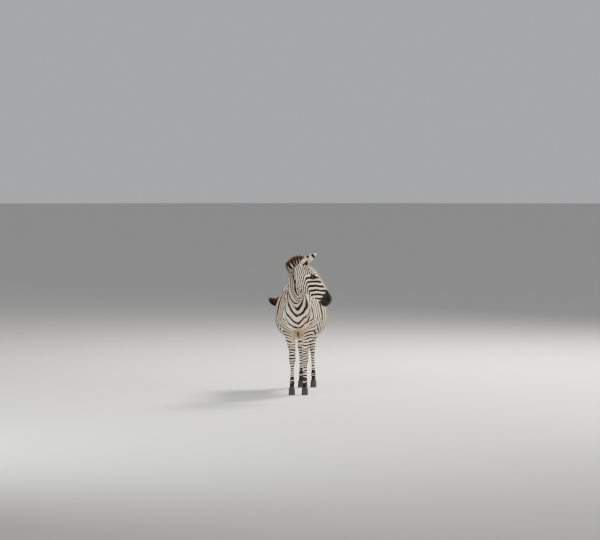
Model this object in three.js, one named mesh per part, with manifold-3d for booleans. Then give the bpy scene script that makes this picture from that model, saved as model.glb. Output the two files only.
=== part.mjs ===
// A plains zebra at life size, standing still on four hooves with its head turned to its left.
// Millimetres, +Z up. The animal faces -Y and its left side is +X. The floor is at Z = 0, and the
// finished group is moved so that its origin is the middle of its bounding box, on the floor.
import * as THREE from "three";
import { mergeVertices } from "three/addons/utils/BufferGeometryUtils.js";
import Module from "manifold-3d";

const wasm = await Module();
wasm.setup();

const V = THREE.Vector3;
const point = (...xyz) => new V(...xyz);

// ---- driving dimensions ----

const GAP = 0.3; // clearance between neighbouring parts
const REACH = 4000; // larger than the animal: the size of the blocks that cut it
const LEG_SIDES = 12;
const BODY_SIDES = 24;

// The stance: how far to the left the middle joint and the foot of each leg are, and how far back the
// foot stands. The fore cannons stand on the line y = 0.
const FEET = {
  fore_left: { joint: 79, x: 77, y: 0 },
  fore_right: { joint: -73, x: -75, y: 0 },
  hind_left: { joint: 109, x: 130, y: 1010 },
  hind_right: { joint: -26, x: -22, y: 988 },
};

// The head: where the poll is, how far it is turned to the left and how far the nose points down.
const HEAD_LENGTH = 560;
const POLL = point(80, -330, 1548);
const HEAD_TURN = THREE.MathUtils.degToRad(77);
const HEAD_PITCH = THREE.MathUtils.degToRad(54.5);
const POLL_DROP = 60; // the poll lies this far below the straight line of the nose

const EYE_RADIUS = 21;
const EAR_LENGTH = 190;
const MANE_HEIGHT = 118;

// ---- lofts: closed bodies skinned over sections along a line ----

// One section: its centre, its half width, how far it reaches above and below the centre, how square
// it is (2 is an ellipse), and how much narrower it is above than below (lean).
const section = (x, y, z, side, up, down, square = 2, lean = 0) => ({
  centre: point(x, y, z),
  size: point(side, up, down),
  form: point(square, lean, 0),
});

const smooth = (points) =>
  new THREE.CatmullRomCurve3(points, false, "catmullrom", 0.5);

// The closed outline of a section, in the plane across `along`, with its top towards `top`.
function outline(centre, along, top, size, form, sides) {
  const across = new V().crossVectors(along, top).normalize();
  const upright = new V().crossVectors(across, along).normalize();
  const power = 2 / form.x;
  return Array.from({ length: sides }, (_, i) => {
    const angle = (2 * Math.PI * i) / sides;
    const [c, s] = [Math.cos(angle), Math.sin(angle)];
    const wide = Math.sign(c) * Math.abs(c) ** power * (1 - form.y * s);
    const high = Math.sign(s) * Math.abs(s) ** power;
    return centre
      .clone()
      .addScaledVector(across, wide * size.x)
      .addScaledVector(upright, high * (s > 0 ? size.y : size.z));
  });
}

// The outlines of a loft. Sections between the given ones follow a smooth curve. `tops` is the
// direction of the top of each section, or one direction for them all. A section faces along the
// curve, unless `along` gives another direction, as a vector or as a function of the curve's own
// direction, the section's centre and its top.
function outlines(sections, { tops, along, sides = LEG_SIDES, steps = 2, grow = 0 }) {
  const path = smooth(sections.map((s) => s.centre));
  const sizes = smooth(sections.map((s) => s.size));
  const forms = smooth(sections.map((s) => s.form));
  const top = Array.isArray(tops) ? smooth(tops) : null;
  const count = (sections.length - 1) * steps;
  return Array.from({ length: count + 1 }, (_, i) => {
    const t = i / count;
    const centre = path.getPoint(t);
    const tangent = path.getTangent(t);
    const upright = top ? top.getPoint(t).normalize() : tops;
    const facing =
      typeof along === "function" ? along(tangent, centre, upright) : (along ?? tangent);
    // A grown loft grows at its two ends as well.
    const beyond = i === 0 ? -grow : i === count ? grow : 0;
    return outline(
      centre.addScaledVector(facing, beyond),
      facing,
      upright,
      sizes.getPoint(t).addScalar(grow),
      forms.getPoint(t),
      sides,
    );
  });
}

function manifoldOf(vertices, faces) {
  const made = new wasm.Manifold(
    new wasm.Mesh({
      numProp: 3,
      vertProperties: new Float32Array(vertices.flatMap((p) => p.toArray())),
      triVerts: new Uint32Array(faces.flat()),
    }),
  );
  return made.volume() < 0
    ? manifoldOf(vertices, faces.map(([a, b, c]) => [a, c, b]))
    : made;
}

// A closed solid skinned over a row of outlines, with a fan over each end.
function skinned(rings) {
  const sides = rings[0].length;
  const middle = (ring) =>
    ring.reduce((sum, p) => sum.add(p), point(0, 0, 0)).divideScalar(sides);
  const vertices = [...rings.flat(), middle(rings[0]), middle(rings.at(-1))];
  const [first, last] = [vertices.length - 2, vertices.length - 1];
  const end = (rings.length - 1) * sides;
  const faces = [];
  for (let i = 0; i < sides; i++) {
    const next = (i + 1) % sides;
    faces.push([first, next, i], [last, end + i, end + next]);
    for (let r = 0; r < end; r += sides)
      faces.push([r + i, r + next, r + sides + next], [r + i, r + sides + next, r + sides + i]);
  }
  return manifoldOf(vertices, faces);
}

const loft = (sections, options) => skinned(outlines(sections, options));

// A three.js geometry as a solid, placed by a matrix.
function solidOf(geometry, matrix) {
  geometry.deleteAttribute("normal").deleteAttribute("uv");
  const merged = mergeVertices(geometry.applyMatrix4(matrix), 1e-3);
  const position = merged.attributes.position;
  const vertices = Array.from({ length: position.count }, (_, i) =>
    new V().fromBufferAttribute(position, i),
  );
  const index = merged.index.array;
  const faces = [];
  for (let i = 0; i < index.length; i += 3) faces.push([...index.slice(i, i + 3)]);
  return manifoldOf(vertices, faces);
}

// An ellipsoid whose three radii lie along the columns of a frame.
function ellipsoid(centre, radii, frame = new THREE.Matrix4(), detail = 9) {
  const matrix = frame.clone().setPosition(centre).scale(radii);
  return solidOf(new THREE.SphereGeometry(1, detail, Math.round(detail * 0.7)), matrix);
}

// The part of a solid on the side of a plane that its normal points to, half a gap clear of it.
function sideOf(solid, onPlane, normal) {
  const turn = new THREE.Quaternion().setFromUnitVectors(point(0, 0, 1), normal.clone().normalize());
  const centre = onPlane.clone().addScaledVector(normal.clone().normalize(), (REACH + GAP) / 2);
  const matrix = new THREE.Matrix4().compose(centre, turn, point(1, 1, 1));
  return solid.intersect(solidOf(new THREE.BoxGeometry(REACH, REACH, REACH), matrix));
}

const union = (solids) => solids.reduce((all, next) => all.add(next));

// ---- trunk: breast, barrel and croup ----

// y along the body, z of the widest line, half width, reach above and below, squareness, lean.
const TRUNK = [
  [-212, 930, 74, 84, 80, 2, 0],
  [-196, 928, 120, 140, 130, 2.1, 0],
  [-150, 925, 160, 200, 178, 2.2, 0.05],
  [-80, 922, 188, 262, 220, 2.2, 0.12],
  [20, 922, 206, 338, 246, 2.2, 0.2],
  [130, 922, 232, 380, 264, 2.2, 0.24],
  [265, 922, 278, 366, 292, 2.25, 0.16],
  [425, 922, 306, 347, 310, 2.25, 0.1],
  [585, 922, 307, 349, 306, 2.25, 0.06],
  [712, 935, 284, 364, 284, 2.35, 0.03],
  [812, 950, 254, 366, 248, 2.45, 0.02],
  [914, 965, 238, 340, 212, 2.45, 0.02],
  [1010, 985, 212, 290, 188, 2.4, 0.03],
  [1090, 1000, 164, 210, 168, 2.3, 0.05],
  [1142, 1010, 100, 128, 124, 2.1, 0],
  [1166, 1012, 45, 55, 55, 2, 0],
].map(([y, z, ...form]) => section(0, y, z, ...form));

// Muscles that stand out of the body's own line: across, along, height, then the three radii.
const MUSCLES = {
  breast: [54, -118, 852, 84, 88, 122],
  upper_arm: [144, 34, 880, 58, 108, 122],
  buttock: [88, 1076, 1000, 90, 98, 160],
  stifle: [144, 772, 806, 58, 64, 84],
};

const musclesOf = (side) =>
  Object.values(MUSCLES).map(([x, y, z, ...radii]) =>
    ellipsoid(point(side * x, y, z), point(...radii), new THREE.Matrix4(), 12),
  );

const trunkBody = (grow) =>
  loft(TRUNK, { tops: point(0, 0, 1), along: point(0, 1, 0), sides: BODY_SIDES, steps: 1, grow });

// ---- neck: it rises from the shoulders and bends to the left, so its crest bows to the right ----

const NECK = [
  section(0, 66, 980, 168, 250, 235, 2.1, 0.1),
  section(-10, 2, 1060, 130, 235, 208, 2.1, 0.16),
  section(-24, -85, 1172, 93, 196, 168, 2.1, 0.2),
  section(-20, -162, 1282, 84, 156, 142, 2.1, 0.2),
  section(-4, -228, 1374, 79, 124, 130, 2.1, 0.15),
  section(26, -286, 1436, 77, 98, 120, 2.1, 0.1),
  section(74, -318, 1460, 71, 76, 108, 2.1, 0.05),
];
const NECK_TOPS = [
  point(0, 0.76, 0.65),
  point(0, 0.74, 0.67),
  point(-0.06, 0.72, 0.69),
  point(-0.17, 0.7, 0.69),
  point(-0.6, 0.46, 0.65),
  point(-0.36, 0.16, 0.92),
  point(0.12, -0.02, 0.99),
];
const NECK_STEPS = 2;
const neckBody = (grow) =>
  loft(NECK, { tops: NECK_TOPS, sides: 20, steps: NECK_STEPS, grow });

// ---- head ----

// The head's own directions: from the poll to the lips, out of the nose, and to the animal's left.
const toLips = point(
  Math.cos(HEAD_PITCH) * Math.sin(HEAD_TURN),
  -Math.cos(HEAD_PITCH) * Math.cos(HEAD_TURN),
  -Math.sin(HEAD_PITCH),
);
const outOfNose = point(
  Math.sin(HEAD_PITCH) * Math.sin(HEAD_TURN),
  -Math.sin(HEAD_PITCH) * Math.cos(HEAD_TURN),
  Math.cos(HEAD_PITCH),
);
const toLeft = new V().crossVectors(outOfNose, toLips).normalize();
const noseLine = POLL.clone().addScaledVector(outOfNose, POLL_DROP);

// A point of the head: along it from the poll, off the line of the nose (negative inwards), to its left.
const onHead = (along, off, left = 0) =>
  noseLine
    .clone()
    .addScaledVector(toLips, along)
    .addScaledVector(outOfNose, off)
    .addScaledVector(toLeft, left);

const headFrame = new THREE.Matrix4().makeBasis(toLeft.clone().negate(), toLips, outOfNose);

// Share of the head's length, then offsets from the line of the nose of the profile, the widest line
// and the jaw, half width, squareness, and lean (negative is narrower at the jaw).
const HEAD = [
  [-0.05, -92, -125, -178, 50, 2, 0],
  [0.02, -60, -108, -210, 66, 2.1, 0],
  [0.1, -28, -90, -238, 80, 2.2, -0.04],
  [0.2, -5, -76, -252, 89, 2.3, -0.08],
  [0.3, 2, -70, -257, 93, 2.35, -0.12],
  [0.4, 1, -72, -262, 87, 2.35, -0.1],
  [0.5, -1, -78, -254, 72, 2.3, -0.05],
  [0.6, -1, -82, -227, 58, 2.25, 0],
  [0.69, -1, -80, -198, 50, 2.25, 0],
  [0.77, -2, -76, -170, 48, 2.3, 0],
  [0.84, -5, -76, -159, 51, 2.4, 0],
  [0.9, -12, -80, -163, 55, 2.4, 0],
  [0.945, -27, -88, -163, 52, 2.3, 0],
  [0.98, -50, -98, -152, 38, 2.1, 0],
  [1, -76, -104, -130, 15, 2, 0],
].map(([share, profile, widest, jaw, side, square, lean]) => ({
  centre: onHead(share * HEAD_LENGTH, widest),
  size: point(side, profile - widest, widest - jaw),
  form: point(square, lean, 0),
}));

const bothSides = (make) => [1, -1].map(make);

const headBody = (grow) =>
  union([
    loft(HEAD, { tops: outOfNose, along: toLips, sides: 22, steps: 1, grow }),
    // The brow that stands out over each eye.
    ...bothSides((side) =>
      ellipsoid(onHead(180, -35, side * 63), point(33, 56, 30).addScalar(grow), headFrame, 11),
    ),
    // The cheek muscle on each side of the jaw.
    ...bothSides((side) =>
      ellipsoid(onHead(176, -166, side * 42), point(43, 98, 84).addScalar(grow), headFrame, 13),
    ),
  ]);

const eyeCentre = (side) => onHead(205, -43, side * 77);
const eyeball = (side, grow = 0) =>
  ellipsoid(eyeCentre(side), point(1, 1, 1).multiplyScalar(EYE_RADIUS + grow), headFrame, 12);

// The shallow socket that the lids fill around each eye.
const socket = (side) => ellipsoid(onHead(207, -45, side * 101), point(14, 30, 23), headFrame);

// A nostril: a slot that opens outwards and forwards on each side of the muzzle.
const nostril = (side) => {
  const frame = headFrame.clone().multiply(new THREE.Matrix4().makeRotationX(0.5));
  return ellipsoid(onHead(508, -54, side * 52), point(12, 19, 9), frame, 8);
};

// The mouth: a narrow slot around the lips, as deep as the lips are thick.
function mouth() {
  const [from, to, slot, depth] = [0.82 * HEAD_LENGTH, 1.05 * HEAD_LENGTH, 2, 9];
  const matrix = headFrame.clone().setPosition(onHead((from + to) / 2, -124));
  const sheet = solidOf(new THREE.BoxGeometry(200, to - from, slot), matrix);
  return sheet.subtract(headBody(-depth));
}

// ---- legs ----

// Height, x and y of the leg's line on the left side, half width, reach to the front and to the back.
const FORELEG = [
  [1165, 94, 78, 24, 48, 56],
  [1090, 112, 40, 40, 84, 96],
  [1010, 128, -8, 51, 122, 122],
  [930, 134, -40, 56, 122, 146],
  [845, 134, -26, 58, 108, 138],
  [770, 124, 0, 61, 84, 104],
  [705, 110, 4, 60, 73, 76],
  [645, 97, 3, 54, 61, 60],
  [580, 85, 1, 45, 49, 47],
  [505, 77, 0, 38, 40, 39],
  [455, 76, 0, 39, 39, 37],
  [412, 75, 0, 41, 41, 38],
  [370, 75, 2, 34, 35, 38],
  [330, 76, 3, 25, 27, 31],
  [245, 76, 3, 22.5, 25, 29],
  [185, 76, 2, 25, 27, 33],
  [150, 76, 0, 32, 33, 39],
  [118, 76, -12, 28, 28, 34],
  [94, 76, -27, 28, 28, 30],
  [74, 76, -40, 35, 33, 37],
];
const HINDLEG = [
  [1190, 126, 893, 60, 120, 140],
  [1100, 146, 888, 94, 172, 200],
  [1010, 151, 886, 103, 180, 238],
  [920, 150, 883, 104, 172, 244],
  [850, 145, 873, 96, 158, 234],
  [790, 140, 870, 84, 150, 200],
  [725, 138, 896, 69, 128, 156],
  [655, 131, 940, 55, 94, 100],
  [595, 120, 976, 42, 66, 70],
  [550, 110, 1002, 35, 52, 68],
  [515, 107, 1014, 36, 48, 64],
  [470, 106, 1020, 36, 46, 51],
  [425, 106, 1020, 29, 37, 41],
  [370, 106, 1018, 24, 29, 34],
  [260, 106, 1014, 22.5, 26.5, 31],
  [190, 106, 1010, 25, 28, 34],
  [155, 106, 1008, 32, 34, 40],
  [122, 106, 993, 28, 28, 34],
  [98, 106, 978, 28, 28, 30],
  [76, 106, 964, 35, 33, 37],
];
// A hoof: half width of the sole, its reach to the toe and the heel, how far the sole lies in front of
// the coronet, and how much the wall flares in the first few millimetres below the hair.
const HOOF = { side: 40, toe: 88, heel: 34, forward: 22, flare: 1.07, flareDepth: 9 };

// The rows of a leg, and how far it has moved from them at a height: it leans from its root so that
// its middle joint, and then its foot, come to their own places.
const rowsOf = (name) => (name.startsWith("fore") ? FORELEG : HINDLEG);

function leanOf(name, height) {
  const [root, bend, jointHeight] = [1000, 600, 480];
  const { joint, x: footX, y: footY } = FEET[name];
  const rows = rowsOf(name);
  const side = Math.sign(joint);
  const cannonBelow = (top) => rows.find(([z]) => z < top);
  const toJoint = joint - side * cannonBelow(jointHeight)[1];
  const toFoot = footX - side * rows.at(-1)[1] - toJoint;
  const upper = THREE.MathUtils.smootherstep(root - height, 0, root - bend);
  const lower = THREE.MathUtils.clamp((jointHeight - height) / jointHeight, 0, 1);
  return point(toJoint * upper + toFoot * lower, (footY - cannonBelow(200)[2]) * upper, 0);
}

const legSections = (name) =>
  rowsOf(name).map(([z, x, y, ...size]) => {
    const lean = leanOf(name, z);
    return section(Math.sign(FEET[name].joint) * x + lean.x, y + lean.y, z, ...size, 2.2);
  });

// The thigh and the shoulder are sliced level, and the leg below them square to its own line.
const sliceOfLeg = (tangent, centre) =>
  tangent.lerp(point(0, 0, -1), THREE.MathUtils.smoothstep(centre.z, 560, 700)).normalize();
const legForm = { tops: point(0, -1, 0), along: sliceOfLeg, sides: LEG_SIDES, steps: 1 };
const legBody = (name, grow) => loft(legSections(name), { ...legForm, grow });

// A hoof: from the slanting coronet down to a flat sole, with the toe longer than the heel.
function hoof(name) {
  const sections = legSections(name);
  const coronet = outlines(sections, legForm).at(-1);
  const down = sections.at(-1).centre.clone().sub(sections.at(-2).centre).normalize();
  const middle = coronet.reduce((sum, p) => sum.add(p), point(0, 0, 0)).divideScalar(coronet.length);
  const top = coronet.map((p) => p.clone().addScaledVector(down, GAP));
  const band = top.map((p) =>
    p.clone().sub(middle).multiplyScalar(HOOF.flare).add(middle).addScaledVector(down, HOOF.flareDepth),
  );
  const sole = outline(
    point(middle.x, middle.y - HOOF.forward, 0),
    point(0, 0, -1),
    point(0, -1, 0),
    point(HOOF.side, HOOF.toe - HOOF.forward, HOOF.heel),
    point(2.3, 0, 0),
    LEG_SIDES,
  );
  return skinned([top, band, sole]);
}

// ---- ears: each is a trumpet, open to the front ----

// Share of the ear's length, half width, and reach to the front and to the back.
const EAR = [
  [0, 24, 26, 26],
  [0.12, 27, 28, 30],
  [0.3, 34, 28, 33],
  [0.5, 39, 24, 31],
  [0.7, 36, 18, 24],
  [0.86, 26, 11, 15],
  [0.96, 13, 6, 8],
  [1, 5, 3, 4],
];
const EAR_THICKNESS = 5;
const EAR_MOUTH = 0.16; // share of the ear's length below which it is closed all round

// How far outwards from the line of the head each ear is turned: the right one is pricked, and the
// left one listens to its own side.
const EAR_TURN = { 1: THREE.MathUtils.degToRad(62), [-1]: THREE.MathUtils.degToRad(-12) };

function ear(side, grow = 0) {
  const base = onHead(2, -84, side * 52);
  const upwards = point(0, 0, 0)
    .addScaledVector(toLips, -0.1)
    .addScaledVector(outOfNose, 0.96)
    .addScaledVector(toLeft, side * 0.24)
    .normalize();
  const opening = point(0, 0, 0)
    .addScaledVector(toLips, Math.cos(EAR_TURN[side]))
    .addScaledVector(toLeft, side * Math.sin(EAR_TURN[side]));
  const at = (share, forward) =>
    base.clone().addScaledVector(upwards, share * EAR_LENGTH).addScaledVector(opening, forward);
  const leaf = EAR.map(([share, side, front, back]) => ({
    centre: at(share, 0),
    size: point(side, front, back),
    form: point(2, 0, 0),
  }));
  const outer = loft(leaf, { tops: opening, along: upwards, sides: 12, steps: 1, grow });
  if (grow) return outer;
  // The hollow breaks out of the front of the leaf.
  const hollow = EAR.filter(([share]) => share > 0.1 && share < 1).map(([share, side, front, back]) => ({
    centre: at(Math.max(share, EAR_MOUTH), 0),
    size: point(side - EAR_THICKNESS, front + 30, back - EAR_THICKNESS),
    form: point(2, 0, 0),
  }));
  hollow.at(-1).size.clampScalar(2, REACH);
  return outer.subtract(loft(hollow, { tops: opening, along: upwards, sides: 10, steps: 1 }));
}

// ---- mane: an upright brush from the forelock over the poll to the withers ----

// How long the hair is along the crest: first over the withers, then at shares of the neck's length,
// and last over the poll and between the ears.
const MANE_START = [
  { at: point(0, 262, 1284), top: point(0, 0.3, 0.95), long: 0.06 },
  { at: point(-2, 198, 1292), top: point(0, 0.4, 0.92), long: 0.2 },
  { at: point(-14, 130, 1298), top: point(-0.02, 0.5, 0.87), long: 0.42 },
  { at: point(-33, 64, 1287), top: point(-0.06, 0.58, 0.81), long: 0.8 },
  { at: point(-42, -2, 1337), top: point(-0.12, 0.72, 0.68), long: 0.92 },
];
const MANE_ON_NECK = [
  [0.56, 1],
  [0.7, 1],
  [0.86, 0.94],
];
const MANE_END = [
  { at: onHead(4, -58), top: point(0.12, 0, 0.99), long: 0.66 },
  { at: onHead(40, -38), top: point(0.36, -0.1, 0.92), long: 0.22 },
];
const MANE_ROOT = 26;

// The crest of the neck at a share of its length, and the direction in which it points.
function crestAt(share) {
  const line = smooth(NECK.map((s) => s.centre));
  const along = line.getTangent(share);
  const top = smooth(NECK_TOPS).getPoint(share).projectOnPlane(along).normalize();
  const reach = smooth(NECK.map((s) => s.size)).getPoint(share).y;
  return { at: line.getPoint(share).addScaledVector(top, reach - 6), top };
}

function mane() {
  const onNeck = MANE_ON_NECK.map(([share, long]) => ({ ...crestAt(share), long }));
  const line = [...MANE_START, ...onNeck, ...MANE_END];
  // The hair stands in its own direction, which is not always square to the crest.
  const along = (tangent, centre, top) => tangent.projectOnPlane(top).normalize();
  return loft(
    line.map(({ at, long }) => section(...at, 15, long * MANE_HEIGHT, MANE_ROOT, 2.6, 0.1)),
    { tops: line.map(({ top }) => top), along, sides: 8, steps: 2 },
  );
}

// ---- tail: the dock swings out to the right, and its tuft flicks up at the end ----

const DOCK = [
  section(0, 1080, 1200, 26, 26, 26),
  section(-20, 1145, 1222, 29, 29, 29),
  section(-98, 1202, 1222, 25, 25, 25),
  section(-180, 1226, 1192, 21, 21, 21),
  section(-248, 1230, 1128, 17, 17, 17),
  section(-286, 1226, 1050, 12, 12, 12),
];
const TUFT = [
  section(-262, 1230, 1100, 24, 24, 24),
  section(-284, 1227, 1050, 36, 36, 36),
  section(-320, 1220, 1012, 44, 44, 44),
  section(-362, 1210, 1010, 42, 42, 42),
  section(-402, 1200, 1034, 30, 30, 30),
  section(-434, 1192, 1070, 10, 10, 10),
];
const dockBody = (grow) => loft(DOCK, { tops: point(0, 1, 0.2), sides: 10, steps: 2, grow });
const tuftBody = () => loft(TUFT, { tops: point(0, 1, 0.2), sides: 10, steps: 2 });

// ---- the animal, parted into its nodes ----

const legNames = Object.keys(FEET);

const flesh = (grow) =>
  union([
    trunkBody(grow),
    neckBody(grow),
    headBody(grow),
    ...legNames.map((name) => legBody(name, grow)),
    ...bothSides(musclesOf).flat(),
  ]);
const body = flesh(0);
const bodyWithGap = flesh(GAP);

// The cut of each leg. Its outline seen from the side, as y and z, goes over the shoulder or the haunch
// and then well clear of the leg all the way down. Seen from the front it keeps clear of the midline by
// a half width that depends on the height, and below the trunk it runs midway between the two legs.
const LEG_CUTS = {
  fore: {
    outline: [
      [60, 1120], [-60, 1070], [-140, 985], [-185, 890], [-260, 790], [-260, -100],
      [200, -100], [180, 620], [150, 720], [168, 850], [160, 980], [120, 1080],
    ],
    inner: [[92, 1200], [92, 1000], [25, 660], [0, 500], [0, -100]],
  },
  hind: {
    outline: [
      [870, 1195], [750, 1130], [682, 1010], [668, 890], [682, 790], [696, 700], [696, -100],
      [1250, -100], [1250, 1060], [1110, 1130], [990, 1190],
    ],
    inner: [[30, 1300], [30, 950], [26, 790], [18, 725], [10, 655], [0, 500], [0, -100]],
  },
};

// A block for cutting: an outline in the second and third directions of a frame, carried through the
// whole animal along the first.
function blockOf(points, frame, grow) {
  const shape = new THREE.Shape(points.map((p) => new THREE.Vector2(...p)));
  const plate = new THREE.ExtrudeGeometry(shape, {
    depth: REACH,
    bevelEnabled: grow > 0,
    bevelSize: grow,
    bevelThickness: grow,
    bevelSegments: 1,
  });
  const [first, second, third] = [new V(), new V(), new V()];
  frame.extractBasis(first, second, third);
  const middle = new V().setFromMatrixPosition(frame).addScaledVector(first, -REACH / 2);
  return solidOf(plate, new THREE.Matrix4().makeBasis(second, third, first).setPosition(middle));
}

function legBlock(name, grow = 0) {
  const [place, side] = name.split("_");
  const sign = side === "left" ? 1 : -1;
  const { outline: sideView, inner } = LEG_CUTS[place];
  const midway = (z) => (leanOf(place + "_left", z).x + leanOf(place + "_right", z).x) / 2;
  const outer = (sign * REACH) / 4;
  const frontView = [
    ...inner.map(([half, z]) => [midway(z) + sign * half, z]),
    [outer, inner.at(-1)[1]],
    [outer, inner[0][1]],
  ];
  const acrossBody = new THREE.Matrix4();
  const alongBody = new THREE.Matrix4().makeBasis(point(0, -1, 0), point(1, 0, 0), point(0, 0, 1));
  return blockOf(sideView, acrossBody, grow).intersect(blockOf(frontView, alongBody, grow));
}

// The outline of the head's cut, along the head and off the line of its nose: down behind the ears
// and the jaw, and along under the jaw.
const HEAD_CUT = [
  [-60, 60], [-24, -150], [40, -232], [150, -284], [700, -284], [700, 60],
];
const headBlock = (grow) => blockOf(HEAD_CUT, headFrame.clone().setPosition(noseLine), grow);

// The neck ends on a slanting plane from the withers to the breast.
const neckFoot = point(0, -60, 1136);
const upTheNeck = point(0, -0.74, 0.67);
const front = sideOf(body, neckFoot, upTheNeck);
const back = sideOf(body, neckFoot, upTheNeck.clone().negate());

const earsWithGap = union(bothSides((side) => ear(side, GAP)));
const head = front
  .intersect(headBlock(0))
  .subtract(union(bothSides(socket)))
  .subtract(union(bothSides((side) => eyeball(side, GAP))))
  .subtract(union(bothSides(nostril)))
  .subtract(mouth());
const neck = front.subtract(headBlock(GAP));
const dockWithGap = dockBody(GAP);
const behindNeck = back.subtract(dockWithGap);
const trunk = behindNeck.subtract(union(legNames.map((name) => legBlock(name, GAP))));

const zebra = new THREE.Group();
zebra.name = "zebra";

const LOOKS = {
  coat: { color: 0xd9cdbb, roughness: 0.75, metalness: 0 },
  mane_hair: { color: 0x2e1d14, roughness: 0.8, metalness: 0 },
  tail_hair: { color: 0x35201a, roughness: 0.8, metalness: 0 },
  horn: { color: 0x241f1d, roughness: 0.55, metalness: 0 },
  eye: { color: 0x120c09, roughness: 0.08, metalness: 0 },
};

function addNode(name, solid, look) {
  const { numProp, vertProperties, triVerts } = solid.getMesh();
  const count = vertProperties.length / numProp;
  const position = new Float32Array(count * 3);
  for (let i = 0; i < count; i++)
    position.set(vertProperties.subarray(i * numProp, i * numProp + 3), i * 3);
  const geometry = new THREE.BufferGeometry()
    .setAttribute("position", new THREE.BufferAttribute(position, 3))
    .setIndex(new THREE.BufferAttribute(triVerts, 1));
  geometry.computeVertexNormals();
  const mesh = new THREE.Mesh(geometry, new THREE.MeshStandardMaterial(LOOKS[look]));
  mesh.name = name;
  zebra.add(mesh);
}

addNode("trunk", trunk, "coat");
addNode("neck", neck, "coat");
addNode("head", head, "coat");
for (const name of legNames) {
  addNode("leg_" + name, behindNeck.intersect(legBlock(name)), "coat");
  addNode("hoof_" + name, hoof(name), "horn");
}
for (const [name, side] of [["left", 1], ["right", -1]]) {
  addNode("ear_" + name, ear(side).subtract(bodyWithGap), "coat");
  addNode("eye_" + name, eyeball(side), "eye");
}
addNode("mane", mane().subtract(bodyWithGap).subtract(earsWithGap), "mane_hair");
addNode("tail_dock", dockBody(0), "coat");
addNode("tail_tuft", tuftBody().subtract(dockBody(GAP)), "tail_hair");

// The group stands with the middle of its footprint on the origin.
const box = new THREE.Box3().setFromObject(zebra);
zebra.position.set(-(box.min.x + box.max.x) / 2, -(box.min.y + box.max.y) / 2, 0);

export default zebra;
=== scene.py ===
# %% [markdown]
# # A plains zebra, life size
# The frame holds the zebra as plain faceted solids: trunk, neck, head, ears, legs, hooves, eyes, mane
# and tail. Everything made here is fitted round those solids, in metres, with the floor at z = 0. The
# body faces -Y and its left side is +X.

# %% Load the frame
import math

import bmesh
import bpy
import numpy as np
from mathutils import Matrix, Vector
from mathutils.bvhtree import BVHTree


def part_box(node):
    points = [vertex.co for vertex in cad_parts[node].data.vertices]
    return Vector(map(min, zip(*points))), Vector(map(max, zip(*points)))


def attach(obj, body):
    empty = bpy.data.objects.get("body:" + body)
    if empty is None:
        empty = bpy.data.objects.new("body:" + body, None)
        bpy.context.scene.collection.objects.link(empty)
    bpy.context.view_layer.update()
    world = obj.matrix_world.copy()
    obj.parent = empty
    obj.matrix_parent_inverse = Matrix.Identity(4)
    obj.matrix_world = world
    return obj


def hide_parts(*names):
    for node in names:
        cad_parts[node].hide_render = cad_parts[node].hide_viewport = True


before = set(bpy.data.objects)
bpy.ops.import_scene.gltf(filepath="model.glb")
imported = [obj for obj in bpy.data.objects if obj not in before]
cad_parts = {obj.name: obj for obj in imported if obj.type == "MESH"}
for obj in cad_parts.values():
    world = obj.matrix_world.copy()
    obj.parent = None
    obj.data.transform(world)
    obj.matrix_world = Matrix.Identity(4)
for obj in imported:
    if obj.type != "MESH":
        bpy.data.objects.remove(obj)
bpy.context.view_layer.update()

RNG = np.random.default_rng(7)
LEGS = ("fore_left", "fore_right", "hind_left", "hind_right")

# %% [markdown]
# ## Small helpers
# Shapes are worked out with arrays: a row for each vertex. These few functions find the middle of a
# node, make directions one unit long, go softly from 0 to 1, and read numbers off along a line.

# %% Array helpers
MM = 0.001


def middle_of(node):
    """The middle of a node's box."""
    low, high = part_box(node)
    return (np.array(low) + np.array(high)) / 2


def unit(vectors):
    """The same directions, each one unit long."""
    vectors = np.asarray(vectors, float)
    return vectors / np.maximum(np.linalg.norm(vectors, axis=-1, keepdims=True), 1e-12)


def ramp(values, start, end):
    """0 before start, 1 after end, and smooth between them."""
    t = np.clip((np.asarray(values, float) - start) / (end - start), 0, 1)
    return t * t * (3 - 2 * t)


def bump(values, centre, width):
    """1 at the centre, falling softly to 0 at about two widths from it."""
    return np.exp(-(((np.asarray(values, float) - centre) / width) ** 2))


def blend(first, second, share):
    """From the first value to the second as share goes from 0 to 1."""
    return first + (second - first) * share


def lengths_along(line):
    """How far each point of a line is from its first one, along the line."""
    return np.concatenate([[0], np.cumsum(np.linalg.norm(np.diff(line, axis=0), axis=1))])


def between(places, given_places, rows):
    """Rows of numbers that are given for some places, read off at others between them."""
    return np.array([np.interp(places, given_places, column) for column in np.asarray(rows).T]).T


# %% [markdown]
# ## Where the head is
# The head is turned to the side and points down, so its details are easier to place in its own
# directions: towards the lips, out of the nose, and to the animal's left. The two eyes give the last of
# these, and the turn and the pitch of the head give the others.

# %% The head's own directions
HEAD_TURN, HEAD_PITCH = math.radians(77), math.radians(54.5)
EYE_ALONG, EYE_IN = 0.205, 0.043  # from the poll, and inwards from the line of the nose

TO_LIPS = np.array([
    math.cos(HEAD_PITCH) * math.sin(HEAD_TURN),
    -math.cos(HEAD_PITCH) * math.cos(HEAD_TURN),
    -math.sin(HEAD_PITCH),
])
OUT_OF_NOSE = np.array([
    math.sin(HEAD_PITCH) * math.sin(HEAD_TURN),
    -math.sin(HEAD_PITCH) * math.cos(HEAD_TURN),
    math.cos(HEAD_PITCH),
])
TO_LEFT = np.cross(OUT_OF_NOSE, TO_LIPS)
EYES = {side: middle_of("eye_" + side) for side in ("left", "right")}
BETWEEN_EYES = (EYES["left"] + EYES["right"]) / 2
NOSE_LINE = BETWEEN_EYES - EYE_ALONG * TO_LIPS + EYE_IN * OUT_OF_NOSE
eye_gap = (EYES["left"] - EYES["right"]) @ TO_LEFT
print("the eyes are", round(float(eye_gap), 3), "m apart")


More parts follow.
